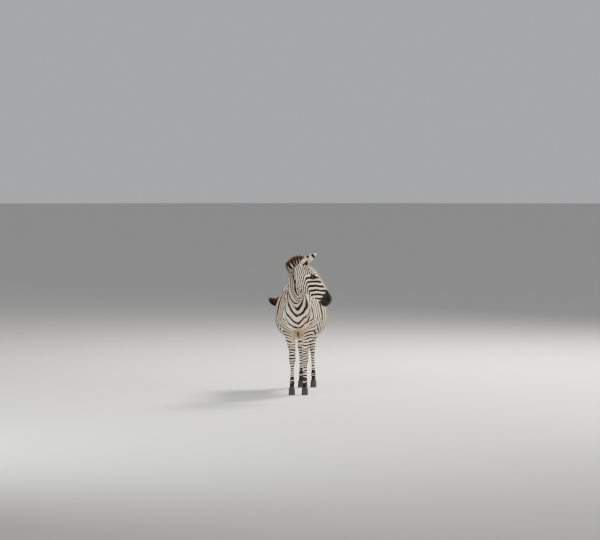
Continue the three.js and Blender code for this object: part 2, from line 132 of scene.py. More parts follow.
def on_head(along, inwards, left=0.0):
    """A place on the head: from the poll to the lips, inwards from the nose line, to its left."""
    return NOSE_LINE + along * TO_LIPS - inwards * OUT_OF_NOSE + left * TO_LEFT


def head_places(points):
    """The same three numbers for points in space."""
    gap = np.asarray(points) - NOSE_LINE
    return gap @ TO_LIPS, -(gap @ OUT_OF_NOSE), gap @ TO_LEFT


# %% [markdown]
# ## Where the trunk is
# The trunk's box gives the midline of the body and the front of the breast. Muscles are placed off the
# midline, and the stripes of the neck and the mane off the midline and behind the breast.

# %% The trunk's box
TRUNK_LOW, TRUNK_HIGH = (np.array(corner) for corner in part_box("trunk"))
MIDLINE = float(TRUNK_LOW[0] + TRUNK_HIGH[0]) / 2
BREAST, RUMP = float(TRUNK_LOW[1]), float(TRUNK_HIGH[1])
print("trunk from", round(BREAST, 3), "to", round(RUMP, 3), "middle", round(MIDLINE, 3))

# %% [markdown]
# ## One skin over the solids of flesh
# On the real animal one skin runs over everything from the muzzle to the hooves, so no seam may show
# between the neck and the trunk. Modelling it by hand over the solids would be slow. Instead, copies of
# the solids are swollen by less than a millimetre so that they run into each other, and a voxel remesh
# wraps them all in one even net of squares. The ears go in as full lumps, because their thin walls would
# get lost; they are hollowed later. The eyeballs go in too, so that the skin runs over them until the
# lids are cut.

# %% Wrap the solids in one net
FLESH = ["trunk", "neck", "head", "ear_left", "ear_right", "tail_dock"]
FLESH += ["leg_" + leg for leg in LEGS]
SWELL = 0.0008
NET = 0.0075  # the side of a square of the net


def solid_copy(node):
    """A bmesh of one node with its vertices joined; an ear is filled up to its hull."""
    solid = bmesh.new()
    solid.from_mesh(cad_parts[node].data)
    bmesh.ops.remove_doubles(solid, verts=solid.verts, dist=1e-5)
    if node.startswith("ear_"):
        hull = bmesh.new()
        for vert in solid.verts:
            hull.verts.new(vert.co)
        inner = bmesh.ops.convex_hull(hull, input=hull.verts)
        spare = {g for g in inner["geom_interior"] + inner["geom_unused"]}
        bmesh.ops.delete(hull, geom=[g for g in spare if isinstance(g, bmesh.types.BMVert)])
        solid.free()
        solid = hull
    solid.normal_update()
    for vert in solid.verts:
        vert.co += vert.normal * SWELL
    return solid


def add_object(name, mesh):
    made = bpy.data.objects.new(name, mesh)
    bpy.context.scene.collection.objects.link(made)
    return made


def wrapped(mesh, side):
    """A new mesh: an even net of squares laid round another mesh."""
    block = add_object(mesh.name, mesh)
    remesh = block.modifiers.new("net", "REMESH")
    remesh.mode = "VOXEL"
    remesh.voxel_size = side
    net = bpy.data.meshes.new_from_object(block.evaluated_get(bpy.context.evaluated_depsgraph_get()))
    bpy.data.objects.remove(block)
    return net


flesh_mesh = bpy.data.meshes.new("flesh")
flesh_points, flesh_faces, flesh_owner = [], [], []
for node in FLESH + ["eye_left", "eye_right"]:
    solid = solid_copy(node)
    label = FLESH.index(node if node in FLESH else "head")
    first = len(flesh_points)
    flesh_points += [tuple(vert.co) for vert in solid.verts]
    solid.verts.index_update()
    flesh_faces += [[first + vert.index for vert in face.verts] for face in solid.faces]
    flesh_owner += [label] * len(solid.faces)
    solid.free()
flesh_mesh.from_pydata(flesh_points, [], flesh_faces)
net_mesh = wrapped(flesh_mesh, NET)
print("the net has", len(net_mesh.vertices), "points")

# %% [markdown]
# ## Smoothing it, part by part
# The net still has the flat facets of the solids. Moving each point towards the middle of its
# neighbours wears the facets down, and repeating it wears down wider ones. The barrel has wide facets
# and takes many rounds. A leg or an ear would get thin, so it gets only a few. Every point is given to
# the solid nearest to it, which tells how many rounds it takes.

# %% Points, neighbours and smoothing


def points_of(mesh):
    """The places of a mesh's points, a row for each."""
    points = np.empty(len(mesh.vertices) * 3, np.float32)
    mesh.vertices.foreach_get("co", points)
    return points.reshape(-1, 3).astype(float)


def put_points(mesh, points):
    mesh.vertices.foreach_set("co", np.asarray(points, np.float32).ravel())


def edges_of(mesh):
    """The two points at the ends of each edge of a mesh."""
    edges = np.empty(len(mesh.edges) * 2, np.int32)
    mesh.edges.foreach_get("vertices", edges)
    return edges.reshape(-1, 2)


def neighbour_mean(values, edges):
    """For each point, the mean of the values at its neighbours."""
    values = np.asarray(values, float)
    columns = values.reshape(len(values), -1)
    here = np.concatenate([edges[:, 0], edges[:, 1]])
    there = np.concatenate([edges[:, 1], edges[:, 0]])
    count = np.maximum(np.bincount(here, minlength=len(values)), 1)
    sums = [np.bincount(here, columns[there, i], len(values)) for i in range(columns.shape[1])]
    return (np.array(sums).T / count[:, None]).reshape(values.shape)


def smoothed(values, edges, rounds, strength=0.5):
    """The values after each has moved towards the mean of its neighbours, again and again."""
    for _ in range(rounds):
        step = neighbour_mean(values, edges) - values
        share = strength if np.ndim(strength) == 0 or values.ndim == 1 else strength[:, None]
        values = values + share * step
    return values


def nearest_node(points):
    """The place in FLESH of the solid nearest to each point."""
    tree = BVHTree.FromPolygons(flesh_points, flesh_faces)
    owner = [flesh_owner[tree.find_nearest(Vector(point))[2]] for point in points]
    return np.array(owner)


# %% Wear the facets down
ROUNDS = {"trunk": 60, "neck": 44, "head": 14, "ear": 5, "tail": 8, "leg": 9}
MOST_ROUNDS = max(ROUNDS.values())
THIGH_TOP, THIGH_LOW = 0.86, 0.66  # between these heights a leg goes from few rounds to many

net_points = points_of(net_mesh)
net_edges = edges_of(net_mesh)
owner = nearest_node(net_points)
rounds = np.array([ROUNDS[FLESH[i].split("_")[0]] for i in range(len(FLESH))], float)[owner]
on_leg = np.char.startswith(np.array(FLESH), "leg")[owner]
thick = ramp(net_points[:, 2], THIGH_LOW, THIGH_TOP)
rounds = np.where(on_leg, blend(ROUNDS["leg"], ROUNDS["trunk"], thick), rounds)
rounds = smoothed(rounds, net_edges, 12)
net_points = smoothed(net_points, net_edges, MOST_ROUNDS, 0.5 * rounds / MOST_ROUNDS)
put_points(net_mesh, net_points)
print("smoothed")

# %% [markdown]
# ## A finer net where the eye looks first
# Lids, nostrils and lips are only millimetres thick, so the head gets squares half as wide, and the
# ears and the places round the eyes, nose and mouth get them halved once more. The lids are halved a
# third time. The lower legs, where tendons and joints show, are halved once.

# %% Halve the squares of chosen places
LOW_LEG = 0.62  # below this height a leg gets the finer squares
EYE_REACH, LID_REACH = 0.055, 0.034  # how far from an eye they are halved twice, and three times


def halve(net, chosen):
    """Cuts every edge whose two ends are chosen, and fills in between."""
    edges = [e for e in net.edges if chosen[e.verts[0].index] and chosen[e.verts[1].index]]
    bmesh.ops.subdivide_edges(net, edges=edges, cuts=1, use_grid_fill=True)
    net.verts.index_update()


def bmesh_points(net):
    return np.array([tuple(vert.co) for vert in net.verts])


def from_eyes(points):
    """How far each point is from the middle of the nearer eye."""
    return np.min([np.linalg.norm(points - middle, axis=1) for middle in EYES.values()], axis=0)


def fine_places(points):
    """Where the squares are halved once more: near the eyes, nostrils and lips, and on the ears."""
    along, inwards, left = head_places(points)
    near_eye = from_eyes(points) < EYE_REACH
    muzzle = (along > 0.44) & (np.abs(left) < 0.1) & (inwards < 0.22) & (along < 0.62)
    ear = (along < 0.06) & (inwards < 0.045) & (np.abs(left) > 0.045) & (np.abs(left) < 0.2)
    return (near_eye | muzzle | ear) & (points[:, 2] > 1.0)


head_label, ears = FLESH.index("head"), (FLESH.index("ear_left"), FLESH.index("ear_right"))
halved = (owner == head_label) | np.isin(owner, ears) | (on_leg & (net_points[:, 2] < LOW_LEG))
net = bmesh.new()
net.from_mesh(net_mesh)
halve(net, halved)
halve(net, fine_places(bmesh_points(net)))
halve(net, from_eyes(bmesh_points(net)) < LID_REACH)
skin_mesh = bpy.data.meshes.new("skin")
net.to_mesh(skin_mesh)
net.free()
skin_points, skin_edges = points_of(skin_mesh), edges_of(skin_mesh)
skin_owner = nearest_node(skin_points)
fine = np.isin(skin_owner, (head_label, *ears)) | (skin_points[:, 2] < LOW_LEG)
skin_points = smoothed(skin_points, skin_edges, 6, 0.5 * smoothed(fine.astype(float), skin_edges, 4))
print("the skin has", len(skin_points), "points")

# %% [markdown]
# ## Muscles, bones and tendons
# A smooth tube doesn't look alive. Under a zebra's thin skin one sees the shoulder blade, the elbow, the
# hip bone, the hollow of the flank, the knee and the tendons behind the cannon bone. Each is a soft
# swelling or hollow: skin near its centre moves out along its own normal by so many millimetres, and
# less further away. Every row holds a name, the centre, its reach in three directions and its height.
# The rows for the body are measured from the midline, and both sides get them.

# %% Swell and hollow the skin


def normals_of(points):
    """The direction in which the skin faces at each point."""
    put_points(skin_mesh, points)
    skin_mesh.update()
    normals = np.empty(len(points) * 3, np.float32)
    skin_mesh.vertex_normals.foreach_get("vector", normals)
    return normals.reshape(-1, 3).astype(float)


def swelling(places, centre, reach, height):
    """How far each place moves out for one row; height is in millimetres."""
    gap = (places - np.asarray(centre)) / np.asarray(reach)
    return MM * height * np.exp(-(gap**2).sum(axis=1))


def both_sides(places, centre, reach, height):
    """The same for a row and its mirror image; the first number of a place is across the body."""
    mirrored = np.array([-centre[0], centre[1], centre[2]])
    return swelling(places, centre, reach, height) + swelling(places, mirrored, reach, height)


# from the midline, along the body, height | reach | millimetres
BODY_FORMS = {
    "breast groove": ((0.0, -0.60, 0.84), (0.018, 0.10, 0.13), -4.5),
    "breast muscle": ((0.065, -0.585, 0.82), (0.05, 0.06, 0.07), 5),
    "point of the shoulder": ((0.15, -0.52, 0.90), (0.045, 0.06, 0.06), 6),
    "spine of the shoulder blade": ((0.16, -0.33, 1.10), (0.05, 0.03, 0.13), 4),
    "hollow before the shoulder": ((0.13, -0.46, 1.08), (0.05, 0.035, 0.12), -5),
    "hollow behind the shoulder": ((0.22, -0.20, 1.02), (0.07, 0.04, 0.16), -6),
    "upper arm": ((0.175, -0.33, 0.88), (0.05, 0.07, 0.09), 6),
    "elbow": ((0.155, -0.275, 0.74), (0.03, 0.03, 0.035), 7),
    "girth behind the elbow": ((0.16, -0.19, 0.72), (0.06, 0.04, 0.06), -6),
    "hollow of the flank": ((0.235, 0.25, 1.08), (0.07, 0.06, 0.10), -10),
    "point of the hip": ((0.21, 0.35, 1.20), (0.06, 0.05, 0.045), 8),
    "flank fold": ((0.21, 0.29, 0.80), (0.05, 0.03, 0.06), 6),
    "stifle": ((0.17, 0.33, 0.80), (0.05, 0.04, 0.05), 6),
    "groove of the thigh": ((0.18, 0.60, 0.92), (0.05, 0.022, 0.15), -7),
    "point of the buttock": ((0.09, 0.72, 1.10), (0.05, 0.03, 0.05), 5),
    "furrow of the croup": ((0.0, 0.45, 1.30), (0.02, 0.25, 0.05), -2),
}
from_midline = skin_points - [MIDLINE, 0, 0]
lift = sum(both_sides(from_midline, *form) for form in BODY_FORMS.values())
RIB_GAP, RIB_HEIGHT = 0.052, 0.0006
on_ribs = bump(skin_points[:, 1], 0.02, 0.17) * bump(skin_points[:, 2], 0.93, 0.17)
lift += RIB_HEIGHT * on_ribs * np.cos(2 * math.pi * skin_points[:, 1] / RIB_GAP)
lift *= np.isin(skin_owner, [FLESH.index(n) for n in FLESH if n.split("_")[0] in ("trunk", "leg", "neck")])
skin_points = skin_points + normals_of(skin_points) * smoothed(lift, skin_edges, 2)[:, None]
print("body forms from", round(lift.min() * 1000, 1), "to", round(lift.max() * 1000, 1), "mm")

# %% [markdown]
# ## The legs' own lines
# The legs lean and bend, so their joints and tendons are placed from the middle of the leg at each
# height. Slices of the skin give that middle: the mean of the lowest and highest x and y of a slice.

# %% Measure the legs
SLICES = np.arange(0.10, 0.74, 0.02)
HALF_SLICE = 0.012
LEG_LINES = {}
for leg in LEGS:
    mine = skin_points[skin_owner == FLESH.index("leg_" + leg)]
    middles = []
    for height in SLICES:
        ring = mine[np.abs(mine[:, 2] - height) < HALF_SLICE]
        middles.append((ring[:, :2].min(axis=0) + ring[:, :2].max(axis=0)) / 2)
    LEG_LINES[leg] = np.array(middles)
print(len(SLICES), "slices of each leg")


def in_leg(points, leg):
    """Places in a leg: outwards from its middle, back from its middle, and the height."""
    outward = 1 if leg.endswith("left") else -1
    x, y = between(points[:, 2], SLICES, LEG_LINES[leg]).T
    return np.array([outward * (points[:, 0] - x), points[:, 1] - y, points[:, 2]]).T


# %% Shape the legs
# outwards, back, height | reach | millimetres
FORELEG_FORMS = {
    "pisiform bone behind the knee": ((0.0, 0.045, 0.445), (0.02, 0.02, 0.022), 4),
    "knee": ((0.034, -0.012, 0.425), (0.018, 0.024, 0.03), 2.5),
    "groove before the tendon": ((0.026, 0.006, 0.27), (0.02, 0.006, 0.10), -3),
    "sesamoid bones": ((0.018, 0.032, 0.152), (0.016, 0.014, 0.02), 3),
    "hollow of the pastern": ((0.0, 0.03, 0.11), (0.03, 0.016, 0.014), -2),
    "forearm": ((0.045, -0.02, 0.61), (0.035, 0.045, 0.08), 4),
    "groove of the forearm": ((0.05, 0.018, 0.56), (0.03, 0.01, 0.10), -3.5),
}
HINDLEG_FORMS = {
    "hollow before the tendon of the hock": ((0.026, 0.022, 0.625), (0.024, 0.016, 0.06), -8),
    "point of the hock": ((0.0, 0.058, 0.555), (0.02, 0.02, 0.03), 3),
    "hock": ((0.034, -0.006, 0.495), (0.018, 0.022, 0.026), 3),
    "groove before the tendon": ((0.026, 0.004, 0.29), (0.02, 0.006, 0.11), -3),
    "sesamoid bones": ((0.018, 0.032, 0.157), (0.016, 0.014, 0.02), 3),
    "hollow of the pastern": ((0.0, 0.03, 0.115), (0.03, 0.016, 0.014), -2),
    "gaskin": ((0.045, -0.02, 0.69), (0.035, 0.05, 0.07), 4),
}
lift = np.zeros(len(skin_points))
for leg in LEGS:
    mine = skin_owner == FLESH.index("leg_" + leg)
    forms = FORELEG_FORMS if leg.startswith("fore") else HINDLEG_FORMS
    places = in_leg(skin_points[mine], leg)
    lift[mine] = sum(both_sides(places, *form) for form in forms.values())
skin_points = skin_points + normals_of(skin_points) * lift[:, None]
print("leg forms from", round(lift.min() * 1000, 1), "to", round(lift.max() * 1000, 1), "mm")

# %% [markdown]
# ## The head's bones and muscles
# The head is modelled in the same way, in its own directions. The ridge below each eye, the cheekbone,
# the hollow over the eye and the edges of the nose bone are what make it a zebra's and not a bag.

# %% Shape the head
# left of the nose line, along from the poll, inwards | reach | millimetres
HEAD_FORMS = {
    "crest of the cheek": ((0.083, 0.30, 0.100), (0.03, 0.06, 0.011), 5),
    "hollow below the crest": ((0.07, 0.335, 0.135), (0.03, 0.06, 0.018), -4),
    "hollow above the crest": ((0.06, 0.335, 0.060), (0.03, 0.07, 0.020), -4),
    "cheekbone": ((0.09, 0.15, 0.078), (0.03, 0.05, 0.012), 4.5),
    "hollow over the eye": ((0.062, 0.135, 0.026), (0.02, 0.026, 0.018), -8),
    "brow": ((0.075, 0.188, 0.020), (0.024, 0.032, 0.012), 4),
    "edge of the nose bone": ((0.030, 0.34, 0.006), (0.010, 0.12, 0.014), 2),
    "throat": ((0.075, 0.055, 0.165), (0.03, 0.02, 0.06), -5),
    "root of the ear": ((0.066, 0.022, 0.062), (0.03, 0.03, 0.03), 3),
    "wing of the nose": ((0.052, 0.475, 0.045), (0.02, 0.03, 0.020), 3),
    "upper lip": ((0.03, 0.545, 0.105), (0.05, 0.03, 0.012), 3),
    "chin": ((0.0, 0.515, 0.160), (0.028, 0.022, 0.03), 2),
}
head_rows = skin_owner == head_label
along, inwards, left = head_places(skin_points)
in_head = np.array([left, along, inwards]).T
lift = sum(both_sides(in_head, *form) for form in HEAD_FORMS.values()) * head_rows
skin_points = skin_points + normals_of(skin_points) * smoothed(lift, skin_edges, 2)[:, None]
print("head forms from", round(lift.min() * 1000, 1), "to", round(lift.max() * 1000, 1), "mm")

# %% [markdown]
# ## Nostrils and mouth
# A nostril is a comma about 4 cm long with a raised wing round it, and the mouth is a narrow groove
# between two full lips. Both are depths given by a formula over the finest part of the net.

# %% Cut the nostrils and the mouth
NOSTRIL = (0.508, 0.056)  # along and inwards
NOSTRIL_TILT = math.radians(-32)
NOSTRIL_SIZE = (0.021, 0.0085)
MOUTH_CORNER, MOUTH_IN = 0.462, 0.124


def nostril_ring(along, inwards):
    """0 at the middle of a nostril and 1 at its edge."""
    cosine, sine = math.cos(NOSTRIL_TILT), math.sin(NOSTRIL_TILT)
    lengthwise = (along - NOSTRIL[0]) * cosine + (inwards - NOSTRIL[1]) * sine
    crosswise = (inwards - NOSTRIL[1]) * cosine - (along - NOSTRIL[0]) * sine
    crosswise = crosswise + 9 * lengthwise**2 - 0.002
    return np.hypot(lengthwise / NOSTRIL_SIZE[0], crosswise / NOSTRIL_SIZE[1])


def mouth_line(along):
    """How far inwards the mouth runs; it drops a little at its corner."""
    return MOUTH_IN + 0.12 * np.maximum(0.50 - along, 0)


along, inwards, left = head_places(skin_points)
sideways = ramp(np.abs(left), 0.014, 0.030)
ring = nostril_ring(along, inwards)
inside_nostril = (1 - ramp(ring, 0.45, 1.25)) * sideways * head_rows
nostril_wing = bump(ring, 1.65, 0.45) * sideways * head_rows
in_mouth = bump(inwards, mouth_line(along), 0.0026) * ramp(along, MOUTH_CORNER, MOUTH_CORNER + 0.02)
lips = bump(np.abs(inwards - mouth_line(along)), 0.011, 0.007) * ramp(along, 0.475, 0.52)
lift = head_rows * (0.0022 * lips - 0.0052 * in_mouth) + 0.0035 * nostril_wing - 0.017 * inside_nostril
skin_points = skin_points + normals_of(skin_points) * lift[:, None]
in_mouth = in_mouth * head_rows
print("nostrils and mouth take", int((inside_nostril > 0.5).sum() + (in_mouth > 0.5).sum()), "points")

# %% [markdown]
# ## Eyelids
# A zebra's eye is a ball 42 mm across, and its lids lie on that ball. Each skin point near the eye is
# described by two angles as seen from the eye's middle. Inside an almond of angles the skin is pushed
# back behind the ball; outside it the skin lies just over the ball, and further out it runs into the
# brow and the cheek.

# %% Lay the lids over the eyes
EYE_RADIUS = (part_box("eye_left")[1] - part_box("eye_left")[0])[2] / 2
LID = 0.0026  # thickness of a lid
LID_LENGTH, LID_UP, LID_DOWN = 0.96, 0.60, 0.50  # half opening, in radians


def eye_axes(side):
    """The way an eye looks, then towards its front corner, then up."""
    sign = 1 if side == "left" else -1
    out = unit(0.93 * sign * TO_LEFT + 0.10 * TO_LIPS + 0.24 * OUT_OF_NOSE)
    corner = unit(TO_LIPS + 0.42 * OUT_OF_NOSE)
    corner = unit(corner - (corner @ out) * out)
    up = unit(OUT_OF_NOSE - (OUT_OF_NOSE @ out) * out - (OUT_OF_NOSE @ corner) * corner)
    return out, corner, up


def lid_edge(sideways, above):
    """How far the lid's edge is above or below the eye's long axis at an angle along it."""
    t = np.clip(1 - (sideways / LID_LENGTH) ** 2, 0, 1) ** 0.8
    # The front corner is drawn out and low, the upper lid is highest behind the middle.
    lean = 1 - 0.18 * sideways
    return np.where(above, LID_UP * t * lean, LID_DOWN * t * (2 - lean))


def eye_angles(points, side):
    """Each point's angles along and across an eye, and its distance outwards and in all."""
    out, corner, up = eye_axes(side)
    gap = points - EYES[side]
    forward = gap @ out
    sideways = np.arctan2(gap @ corner, np.maximum(forward, 1e-4))
    height = np.arctan2(gap @ up, np.maximum(np.hypot(forward, gap @ corner), 1e-4))
    return sideways, height, forward, np.linalg.norm(gap, axis=1)


lid_shade = np.zeros(len(skin_points))  # 1 on the bare dark edge of the lids
for side in EYES:
    sideways, height, forward, distance = eye_angles(skin_points, side)
    edge = lid_edge(sideways, height > 0)
    beyond = np.hypot(np.maximum(np.abs(height) - edge, 0), np.maximum(np.abs(sideways) - LID_LENGTH, 0))
    near = (forward > 0) & (distance < 0.06)
    rim = 0.0012 * bump(beyond, 0.10, 0.10)
    fold = -0.0016 * bump(beyond, 0.44, 0.07) * (height > 0)
    share = ramp(beyond, 0.30, 0.85)
    wanted = blend(EYE_RADIUS + LID + rim, np.maximum(distance, EYE_RADIUS + LID * (1 - share)), share)
    wanted = np.where(beyond < 1e-6, EYE_RADIUS - 0.005, wanted + fold)
    scale = np.where(near, wanted / np.maximum(distance, 1e-6), 1.0)
    skin_points = EYES[side] + (skin_points - EYES[side]) * scale[:, None]
    lid_shade = np.maximum(lid_shade, near * (1 - ramp(beyond, 0.10, 0.26)))
print("the lids take", int((lid_shade > 0.5).sum()), "points")

# %% [markdown]
# ## Hollow ears
# An ear is a leaf rolled into a trumpet. So far each is a full lump. The points on its open side are
# pushed back until only a wall 5 mm thick is left behind them. The width and depth of the lump at each
# height are measured from the points themselves.

# %% Hollow the ears
EAR_LENGTH, EAR_WALL = 0.19, 0.0048
EAR_TURN = {"left": math.radians(62), "right": math.radians(-12)}
EAR_BASE = (0.002, 0.084, 0.052)  # along, inwards and to the side


def ear_axes(side):
    """An ear's foot, then the way it points, the way it opens, and across it."""
    sign = 1 if side == "left" else -1
    foot = on_head(EAR_BASE[0], EAR_BASE[1], sign * EAR_BASE[2])
    upwards = unit(-0.1 * TO_LIPS + 0.96 * OUT_OF_NOSE + 0.24 * sign * TO_LEFT)
    opening = math.cos(EAR_TURN[side]) * TO_LIPS + math.sin(EAR_TURN[side]) * sign * TO_LEFT
    opening = unit(opening - (opening @ upwards) * upwards)
    return foot, upwards, opening, np.cross(upwards, opening)


def in_ear(points, side):
    """Places in an ear: the share of its length, forwards and sideways."""
    foot, upwards, opening, across = ear_axes(side)
    gap = points - foot
    return gap @ upwards / EAR_LENGTH, gap @ opening, gap @ across


ear_inside = np.zeros(len(skin_points))
for side, label in zip(("left", "right"), ears):
    mine = skin_owner == label
    share, forward, sideways = in_ear(skin_points, side)
    levels = np.arange(0.1, 1.0, 0.06)
    rings = [mine & (np.abs(share - level) < 0.045) for level in levels]
    half_width = np.interp(share, levels, [np.abs(sideways[ring]).max() for ring in rings])
    back = np.interp(share, levels, [-forward[ring].min() for ring in rings])
    room = np.maximum(half_width - 0.5 * EAR_WALL, 0.002)
    curve = np.sqrt(np.clip(1 - (sideways / room) ** 2, 0, 1))
    wall = -(back - EAR_WALL) * curve * ramp(share, 0.10, 0.36)
    open_side = mine & (forward > wall + 0.4 * EAR_WALL) & (share > 0.1)
    to_rim = 1 - ramp(np.abs(sideways) / half_width, 0.66, 0.92)
    to_tip = 1 - ramp(share, 0.93, 1.0)
    moved = np.where(open_side, np.minimum(wall - forward, 0) * to_rim * to_tip, 0)
    skin_points = skin_points + moved[:, None] * ear_axes(side)[2]
    ear_inside = np.maximum(ear_inside, ramp(-moved, 0.002, 0.012))
    soft = smoothed(mine.astype(float), skin_edges, 2)
    skin_points = smoothed(skin_points, skin_edges, 4, 0.4 * soft)
print("the ears are hollowed by up to", round(float(-moved.min()) * 1000), "mm")

# %% [markdown]
# ## Where a stripe runs: the neck
# Zebra stripes are not a texture laid over the body. They follow its growth: they ring the legs, fan
# round the throat, hang in a V on the chest and turn from upright to level over the haunch. Here each
# region has a count that rises by one from one black stripe to the next, and the cosine of the count is
# 1 in the middle of a black stripe and -1 in the middle of a white one. On the neck the counts are
# planes, like the leaves of an open book. Every leaf goes from a place on the throat or breast to one
# on the crest, and the leaves lie close together at the throat.

# %% Count the stripes of the neck
THROAT = np.array([  # the leaf's number, x, y and z at the front; y behind the breast, x off the midline
    [-4, 0.000, 0.190, 0.640],
    [-3, 0.000, 0.130, 0.655],
    [-2, 0.000, 0.075, 0.700],
    [-1, 0.000, 0.026, 0.760],
    [0, 0.000, 0.010, 0.829],
    [1, 0.000, 0.003, 0.937],
    [2, 0.000, 0.003, 1.003],
    [3, -0.006, -0.005, 1.069],
    [4, -0.002, -0.024, 1.127],
    [5, 0.005, -0.040, 1.168],
    [6, 0.014, -0.054, 1.198],
    [7, 0.024, -0.066, 1.238],
    [9, 0.045, -0.080, 1.278],
    [12, 0.066, -0.092, 1.312],
    [15, 0.080, -0.098, 1.340],
])
CREST = np.array([  # a line over the withers and along the crest to the poll
    [0.000, 0.700, 1.290],
    [0.000, 0.474, 1.284],
    [-0.002, 0.410, 1.292],
    [-0.014, 0.342, 1.298],
    [-0.036, 0.268, 1.307],
    [-0.047, 0.159, 1.390],
    [-0.079, 0.041, 1.455],
    [-0.009, -0.058, 1.526],
    [0.083, -0.108, 1.535],
    [0.190, -0.140, 1.500],
])
CREST_STRIPES = np.array([  # the leaf's number, and how far it is from the withers along the crest
    [-4, -0.100],
    [-3, -0.040],
    [-2, 0.020],
    [-1, 0.075],
    [0, 0.135],
    [1, 0.235],
    [2, 0.335],
    [3, 0.445],
    [4, 0.525],
    [5, 0.585],
    [6, 0.630],
    [7, 0.668],
    [9, 0.718],
    [12, 0.780],
    [15, 0.840],
])
LEAF_STEP = 0.1
LEAVES = np.arange(-4, 15.01, LEAF_STEP)
TO_WITHERS = 0.226  # the length of the crest's line behind the withers
V_SLOPE, LOW_V_SLOPE = 0.64, 1.10  # how the arms of the V rise, and how those of the lowest ones do
STEEPER = 0.20  # how far they are raised more at the sides


def on_crest(lengths):
    """Places on the crest's line, at lengths counted from the withers."""
    line = CREST + [MIDLINE, BREAST, 0]
    return between(lengths, lengths_along(line) - TO_WITHERS, line)


throat_line = between(LEAVES, THROAT[:, 0], THROAT[:, 1:]) + [MIDLINE, BREAST, 0]
crest_line = on_crest(np.interp(LEAVES, CREST_STRIPES[:, 0], CREST_STRIPES[:, 1]))
leaf_middle = (throat_line + crest_line) / 2
leaf_way = unit(crest_line - throat_line)
leaf_facing = np.gradient(leaf_middle, axis=0)
leaf_facing[:, 0] *= ramp(LEAVES, 0.6, 2.0)  # on the chest both arms of the V rise alike
leaf_facing = unit(leaf_facing - (leaf_facing * leaf_way).sum(axis=1)[:, None] * leaf_way)
print(len(LEAVES), "leaves from", LEAVES[0], "to", round(float(LEAVES[-1]), 1))


def neck_count(points):
    """The number of the leaf that each point lies on. Beside the midline of the throat and breast the
    leaves rise a little, which turns their rings into a V."""
    middle = np.interp(points[:, 2], THROAT[:, 3], THROAT[:, 1]) + MIDLINE
    aside = np.abs(points[:, 0] - middle)
    low = 1 - ramp(points[:, 2], 1.10, 1.25)
    slope = blend(LOW_V_SLOPE, V_SLOPE, ramp(points[:, 2] - 0.5 * aside, 0.84, 0.92))
    risen = slope * np.minimum(aside, 0.09) + STEEPER * ramp(aside, 0.11, 0.20) * low
    risen = risen * (1 - ramp(points[:, 1], -0.48, -0.30))
    points = points - risen[:, None] * [0, 0, 1]
    before = points @ leaf_facing.T - (leaf_middle * leaf_facing).sum(axis=1)
    passed = (before[:, :-1] > 0) & (before[:, 1:] <= 0)
    beyond = np.where(before[:, 0] <= 0, 0, len(LEAVES) - 2)
    index = np.where(passed.any(axis=1), passed.argmax(axis=1), beyond)
    rows = np.arange(len(points))
    first, second = before[rows, index], before[rows, index + 1]
    share = np.clip(first / np.where(np.abs(first - second) < 1e-9, 1e-9, first - second), 0, 1)
    return LEAVES[index] + share * LEAF_STEP


# %% [markdown]
# ## Where a stripe runs: barrel, haunch and legs
# Over the shoulder the stripes fork: one upright stripe splits into two arms that run down before and
# behind the leg, with smaller chevrons nested under it, which flatten into the rings of the foreleg. On
# the barrel the count rises along the body. On the haunch it rises downwards and a little away from the
# spine, and a soft minimum of the two counts bends each stripe from upright to level. A slow wobble
# keeps the lines from looking ruled.

# %% Count the stripes of the body and legs
BARREL_STRIPE = 0.080  # from one black stripe to the next, at the shoulder
WIDENING = 0.09  # how much wider it gets towards the haunch
SHOULDER_AXIS = ((0.60, -0.385), (1.25, -0.315))  # height and y of the line through the shoulder
FORK = 0.90  # the height at which the shoulder stripe splits
HAUNCH_SLOPE = 0.22  # how steeply the stripes of the haunch rise towards the tail
HAUNCH_SPREAD = 0.50  # how much the count rises away from the spine, as if it were height lost
HAUNCH_SIDE = 0.25  # the distance off the spine where that makes no difference
BREAST_SLOPE = 0.75  # how steeply the stripes above the forelegs rise towards the sides
HAUNCH_BEND = 0.8  # how round a stripe's bend from upright to level is
LEVEL_STEP = 0.005


def count_down(heights, table):
    """A count that rises downwards. The table gives the distance between stripes at some heights."""
    levels = np.arange(1.45, 0.0, -LEVEL_STEP)
    gaps = np.interp(levels, [row[0] for row in table], [row[1] for row in table])
    counts = np.concatenate([[0], np.cumsum(LEVEL_STEP / gaps)[:-1]])
    return np.interp(heights, levels[::-1], counts[::-1])


# height, and the distance from one black stripe to the next there
FORELEG_STRIPES = ((0.10, 0.022), (0.30, 0.029), (0.50, 0.031), (0.66, 0.039), (0.85, 0.072), (1.1, 0.085))
HINDLEG_STRIPES = (
    (0.10, 0.024), (0.35, 0.031), (0.52, 0.037), (0.66, 0.055), (0.80, 0.08), (0.95, 0.10), (1.35, 0.15)
)
FIRST_HAUNCH_STRIPE = 3.2  # the haunch's count at its top


def wobble(points, size, number):
    """Soft random waves of about one size, between about -1 and 1, the same on every run."""
    dice = np.random.default_rng(number)
    total = np.zeros(len(points))
    for _ in range(7):
        way = unit(dice.normal(size=3)) * dice.uniform(0.7, 1.5) / size
        total += np.sin(2 * math.pi * (points @ way) + dice.uniform(0, 6.3))
    return total / 3.2


def behind_shoulder(points):
    """How far a point is behind the line through the shoulder and the foreleg."""
    (low, low_y), (high, high_y) = SHOULDER_AXIS
    axis = low_y + (high_y - low_y) * (points[:, 2] - low) / (high - low)
    return points[:, 1] - np.where(points[:, 2] < low, low_y, axis)


def barrel_count(points):
    """The count along the body: even before the shoulder's line, and with wider gaps behind it."""
    behind = behind_shoulder(points)
    widening = np.log1p(WIDENING / BARREL_STRIPE * np.maximum(behind, 0)) / WIDENING
    return widening + np.minimum(behind, 0) / BARREL_STRIPE


